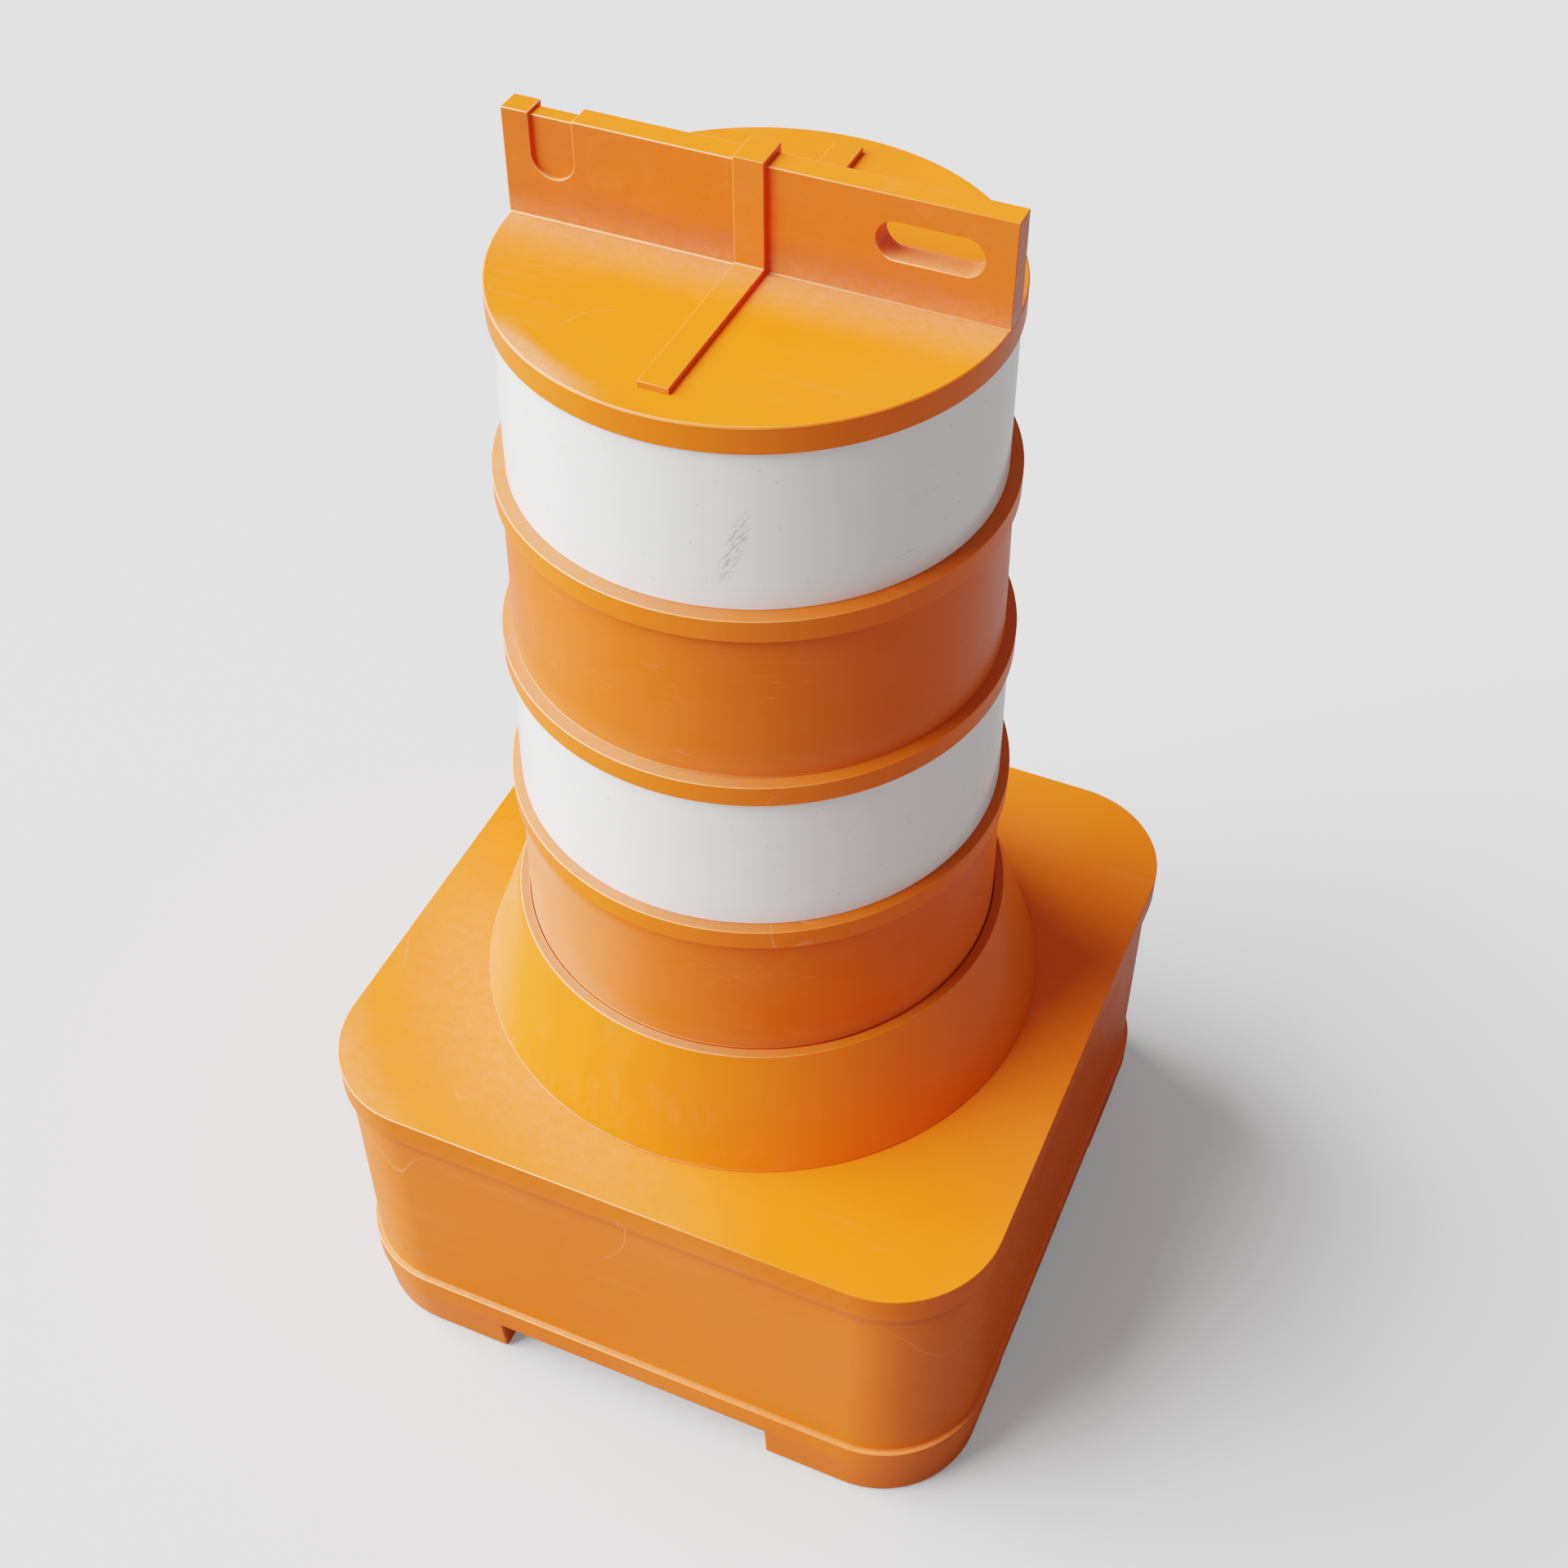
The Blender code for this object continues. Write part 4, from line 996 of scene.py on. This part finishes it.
def build_screw(name, node, material, body, flipped):
    """A pan-head screw with a hex socket; its head is below unless it is flipped."""
    low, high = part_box(node)
    middle = (low + high) / 2
    head = (high.x - low.x) / 2
    length = high.z - low.z
    tip = SHANK_RADIUS - SHANK_TIP
    outline = [
        (0.0, SOCKET_DEPTH),
        (SOCKET_RADIUS, SOCKET_DEPTH),
        (SOCKET_RADIUS, 0.0),
        *arc((head - HEAD_EDGE, HEAD_EDGE), HEAD_EDGE, -90, 0, HEAD_STEPS),
        (head, HEAD_HEIGHT),
        (SHANK_RADIUS, HEAD_HEIGHT),
        (SHANK_RADIUS, length - SHANK_TIP),
        (tip, length),
        (0.0, length),
    ]
    section = [(radius, height, False) for radius, height in outline]
    made = revolve(name, section, closed=False, steps=SCREW_STEPS)
    flat_socket(made)
    if flipped:
        made.data.transform(Matrix.Translation((0, 0, length)) @ Matrix.Rotation(pi, 4, "X"))
    made.data.transform(Matrix.Translation((middle.x, middle.y, low.z)))
    return place(made, material, body, "screw_steel", node)


def flat_socket(screw):
    """Draw the round socket in to a hexagon."""
    for vert in screw.data.vertices:
        radius = hypot(vert.co.x, vert.co.y)
        on_socket = abs(radius - SOCKET_RADIUS) < SAME_PLACE
        if on_socket and vert.co.z < SOCKET_DEPTH + SAME_PLACE:
            angle = atan2(vert.co.y, vert.co.x) % (pi / 3) - pi / 6
            scale = cos(pi / 6) / cos(angle)
            vert.co.x *= scale
            vert.co.y *= scale


def fin_slot(bm):
    """Cut the hand slot through the fin."""
    radius = (SLOT_TOP - SLOT_LOW) / 2
    height = FIN_LOW.z + SLOT_LOW + radius
    slot = bmesh.new()
    ends = arc((SLOT_LEFT + radius, height), radius, 90, 270, SLOT_STEPS)
    ends += arc((SLOT_RIGHT - radius, height), radius, -90, 90, SLOT_STEPS)
    prism(slot, ends, FIN_LOW.y - OVERSHOOT, FIN_HIGH.y + OVERSHOOT, "Y")
    cut(bm, slot)


def fin_saddle(bm):
    """Cut the U-shaped recess into both faces of the fin, and lower the top between them."""
    front, rear = FIN_LOW.y - OVERSHOOT, FIN_HIGH.y + OVERSHOOT
    above = FIN_HIGH.z + OVERSHOOT
    radius = (SADDLE_RIGHT - SADDLE_LEFT) / 2
    middle = (SADDLE_LEFT + radius, FIN_LOW.z + SADDLE_LOW + radius)
    curve = arc(middle, radius, 180, 360, SADDLE_STEPS)
    outline = [(SADDLE_LEFT, above), *curve, (SADDLE_RIGHT, above)]
    for start, end in ((front, FIN_LOW.y + SADDLE_DEPTH), (FIN_HIGH.y - SADDLE_DEPTH, rear)):
        saddle = bmesh.new()
        prism(saddle, outline, start, end, "Y")
        cut(bm, saddle)
    drop = bmesh.new()
    box(drop, (SADDLE_LEFT, front, FIN_HIGH.z - SADDLE_DROP), (SADDLE_RIGHT, rear, above))
    cut(bm, drop)


def mark_fin_wear_and_highlight(bm):
    """How pale the fin's cove and its saddle's and slot's edges are: worn, and painted highlight in the
    cove and slot.
    """
    wear_and_highlight = wear_layer(bm)
    half_thickness = (FIN_HIGH.y - FIN_LOW.y) / 2
    slot_foot = FIN_LOW.z + SLOT_LOW + SLOT_HIGHLIGHT_HEIGHT
    brim = FIN_HIGH.z - SADDLE_BRIM
    for face in bm.faces:
        middle = face.calc_center_median()
        outside = abs(middle.y - (FIN_LOW.y + FIN_HIGH.y) / 2) > half_thickness
        in_saddle = SADDLE_LEFT < middle.x < SADDLE_RIGHT and middle.z < brim
        in_slot_foot = SLOT_LEFT < middle.x < SLOT_RIGHT and middle.z < slot_foot
        if FIN_LOW.z < middle.z < FIN_LOW.z + FIN_COVE and outside:
            face[wear_and_highlight] = 1.0
        elif face[wear_and_highlight] and in_saddle:
            face[wear_and_highlight] = SADDLE_WEAR_AND_HIGHLIGHT
        elif face[wear_and_highlight] and in_slot_foot:
            face[wear_and_highlight] = SLOT_HIGHLIGHT


def build_fin(material):
    """The handle panel: a cove at its foot, a hand slot, and a saddle for a lamp bracket."""
    foot, top = FIN_LOW.z, FIN_HIGH.z
    front, rear = FIN_LOW.y, FIN_HIGH.y
    cove = FIN_COVE
    outline = [
        *arc((front - cove, foot + cove), cove, -90, 0, FIN_COVE_STEPS),
        (front, top),
        (rear, top),
        *arc((rear + cove, foot + cove), cove, 180, 270, FIN_COVE_STEPS),
    ]
    bm = bmesh.new()
    prism(bm, outline, FIN_LOW.x, FIN_HIGH.x, "X")
    fin_slot(bm)
    fin_saddle(bm)
    round_edges(bm, FIN_EDGE, lambda edge: highest(edge) > foot + 2 * cove, clamp=False)
    mark_fin_wear_and_highlight(bm)
    return place(finish_mesh("handle_fin_skin", bm), material, "lid", "orange_plastic", "handle_fin")


def build_strap(material):
    """The strap that runs up the lid, over the fin and down again."""
    low, high = STRAP_LOW.z, LID_HIGH.z + STRAP_THICK
    front, rear = STRAP_LOW.y, STRAP_HIGH.y
    face_front, face_rear = FIN_LOW.y - STRAP_THICK, FIN_HIGH.y + STRAP_THICK
    cove = STRAP_COVE
    outline = [
        (front, low),
        (front, high),
        *arc((face_front - cove, high + cove), cove, -90, 0, STRAP_COVE_STEPS),
        (face_front, STRAP_HIGH.z),
        (face_rear, STRAP_HIGH.z),
        *arc((face_rear + cove, high + cove), cove, 180, 270, STRAP_COVE_STEPS),
        (rear, high),
        (rear, low),
        (FIN_HIGH.y + GAP, low),
        (FIN_HIGH.y + GAP, FIN_HIGH.z + GAP),
        (FIN_LOW.y - GAP, FIN_HIGH.z + GAP),
        (FIN_LOW.y - GAP, low),
    ]
    bm = bmesh.new()
    prism(bm, outline, STRAP_LOW.x, STRAP_HIGH.x, "X")
    bmesh.ops.recalc_face_normals(bm, faces=bm.faces)
    round_edges(bm, STRAP_EDGE, lambda edge: lowest(edge) > low + SAME_LEVEL)
    wear_and_highlight = wear_layer(bm)
    # painted highlight along the strap's cove
    for face in bm.faces:
        middle = face.calc_center_median()
        inside_cove = high < middle.z < high + cove
        if inside_cove and min(abs(middle.y - face_front), abs(middle.y - face_rear)) < cove:
            face[wear_and_highlight] = STRAP_COVE_HIGHLIGHT
    return place(finish_mesh("centre_strap_skin", bm), material, "lid", "orange_plastic", "centre_strap")


def build_slab(node, material):
    """A ballast slab: its CAD solid with softened edges."""
    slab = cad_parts[node]
    slab.data.materials.clear()
    slab.data.materials.append(material)
    soft = slab.modifiers.new("soft_edges", "BEVEL")
    soft.width = SLAB_EDGE
    soft.segments = BEVEL_STEPS
    soft.limit_method = "ANGLE"


# ---- studio

def build_floor():
    """A plain pale studio floor, which gives less light back to the object than the camera sees."""
    bm = bmesh.new()
    bmesh.ops.create_grid(bm, x_segments=1, y_segments=1, size=FLOOR_HALF)
    mesh = bpy.data.meshes.new("studio_floor")
    bm.to_mesh(mesh)
    bm.free()
    floor = new_object("studio_floor", mesh)
    floor.location.z = GROUND
    n = Nodes("studio_floor")
    tone = n.ramp(n.noise(0.8, 2.0), 0.3, 0.7)
    seen = n.mix(tone, FLOOR_GREY, FLOOR_LIGHT)
    camera_ray = n.add("ShaderNodeLightPath").outputs["Is Camera Ray"]
    n.put(n.shader.inputs["Emission Color"], rgb(1.0, 1.0, 1.0))
    n.put(n.shader.inputs["Emission Strength"], n.times(camera_ray, FLOOR_GLOW))
    mesh.materials.append(n.surface(n.mix(camera_ray, FLOOR_BOUNCE, seen), 0.8, shine=0.2))


def aim(item, target):
    """Turn an object's -Z towards a place."""
    item.rotation_euler = (Vector(target) - item.location).to_track_quat("-Z", "Y").to_euler()


def direction(azimuth, elevation):
    """A unit vector from the object towards an azimuth (0 is the front) and an elevation."""
    across, up = radians(azimuth), radians(elevation)
    return Vector((sin(across) * cos(up), -cos(across) * cos(up), sin(up)))


def soft_light(name, azimuth, elevation, spread, strength):
    """A far round soft light, as wide as its spread in degrees."""
    data = bpy.data.lights.new(name, "SUN")
    data.angle = radians(spread)
    data.energy = strength
    lamp = new_object(name, data)
    lamp.location = direction(azimuth, elevation) * LIGHT_STAND
    aim(lamp, (0.0, 0.0, 0.0))


def build_lights():
    """One broad key from the left, and a dim even sky that the camera sees as pale as the floor."""
    world = bpy.data.worlds.new("studio_sky")
    bpy.context.scene.world = world
    world.use_nodes = True
    tree = world.node_tree
    sky = tree.nodes["Background"]
    sky.inputs["Color"].default_value = rgb(1.0, 1.0, 1.0)
    camera_ray = tree.nodes.new("ShaderNodeLightPath").outputs["Is Camera Ray"]
    strength = tree.nodes.new("ShaderNodeMapRange")
    strength.inputs["To Min"].default_value = SKY_STRENGTH
    strength.inputs["To Max"].default_value = SKY_SEEN
    tree.links.new(camera_ray, strength.inputs["Value"])
    tree.links.new(strength.outputs["Result"], sky.inputs["Strength"])
    soft_light("key", KEY_AZIMUTH, KEY_ELEVATION, KEY_SPREAD, KEY_STRENGTH)
    bpy.context.scene.view_settings.view_transform = "Filmic"


def build_camera():
    """A 50 mm lens, high and to the right of the front."""
    data = bpy.data.cameras.new("camera")
    data.lens = LENS
    data.sensor_width = SENSOR
    camera = new_object("camera", data)
    target = Vector(CAMERA_TARGET)
    camera.location = target + direction(CAMERA_AZIMUTH, CAMERA_ELEVATION) * CAMERA_DISTANCE
    aim(camera, target)
    bpy.context.scene.camera = camera


# ---- the whole

def build_object():
    """Every visible piece."""
    upright = orange_plastic("orange_upright", (60.0, 60.0, 2.5), ledges=0.70)
    cone = orange_plastic("orange_cone", (60.0, 60.0, 2.5), ledges=0.85, haze=cone_sheen)
    # painted shade darkens the walls of the base, the fin and the strap
    level = orange_plastic("orange_base", (3.0, 90.0, 60.0), haze=base_dust_and_sheen, grime_and_shade=base_lip_shade,
                           shaded_wall_tone=0.855, wall_shine=0.07)
    top = orange_plastic("orange_lid", (3.0, 90.0, 60.0), 0.05, haze=lid_dust_and_sheen, grime_and_shade=lid_shade_by_fin)
    panel = orange_plastic("orange_fin", (30.0, 60.0, 60.0), haze=fin_haze, grime_and_shade=fin_dirt_and_shade,
                           shaded_wall_tone=0.74, sideways=0.35)
    strap = orange_plastic("orange_strap", (60.0, 3.0, 60.0), haze=strap_haze, shaded_wall_tone=0.84,
                           wear_and_highlight=0.35, sideways=1.0)
    black = rubber("black_rubber", (0.02, 0.02, 0.02), 700.0)
    crumb = rubber("crumb_rubber", (0.03, 0.028, 0.026), 260.0)
    steel = zinc("zinc_steel")

    build_shell(level)
    build_tray(level)
    round_piece("collar_skin", "collar_cone", cone, "base", "orange_plastic")
    round_piece("drum_skin", "drum_body", upright, "drum", "orange_plastic")
    round_piece("lid_skin", "lid", top, "lid", "orange_plastic", LID_EDGE)
    round_piece("seat_ring_skin", "drum_seat_ring", black, "seat_ring", "black_rubber")
    round_piece("lid_seal_skin", "lid_seal", black, "lid", "black_rubber")
    build_fin(panel)
    build_strap(strap)
    for node in SHEETS:
        if node.startswith("white"):
            film = sheeting(f"film_{node}", node, WHITE, GREY, 0.45, 0.14,
                            rubbed=node.endswith("upper"), specks=0.40, side_bounce=0.045)
            build_sheet(f"{node}_skin", node, film, "white_sheeting")
        else:
            film = sheeting(f"film_{node}", node, SHEET_ORANGE, DUST_AND_PAINTED_LIGHT, PLASTIC_SHINE, 0.28, 0.9,
                            haze=low_sheet_sheen if node.endswith("lower") else None)
            build_sheet(f"{node}_skin", node, film, "orange_sheeting")
    for index in range(1, 5):
        build_foot_pad(f"foot_pad_{index}_skin", f"foot_pad_{index}", black)
    for node in ("ballast_slab_lower", "ballast_slab_upper"):
        build_slab(node, crumb)
    for node in sorted(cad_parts):
        if "_screw_" in node:
            body = "base" if node.startswith(("tray", "collar")) else "lid"
            build_screw(f"{node}_skin", node, steel, body, flipped=node.startswith("collar"))


build_object()
build_floor()
build_lights()
build_camera()
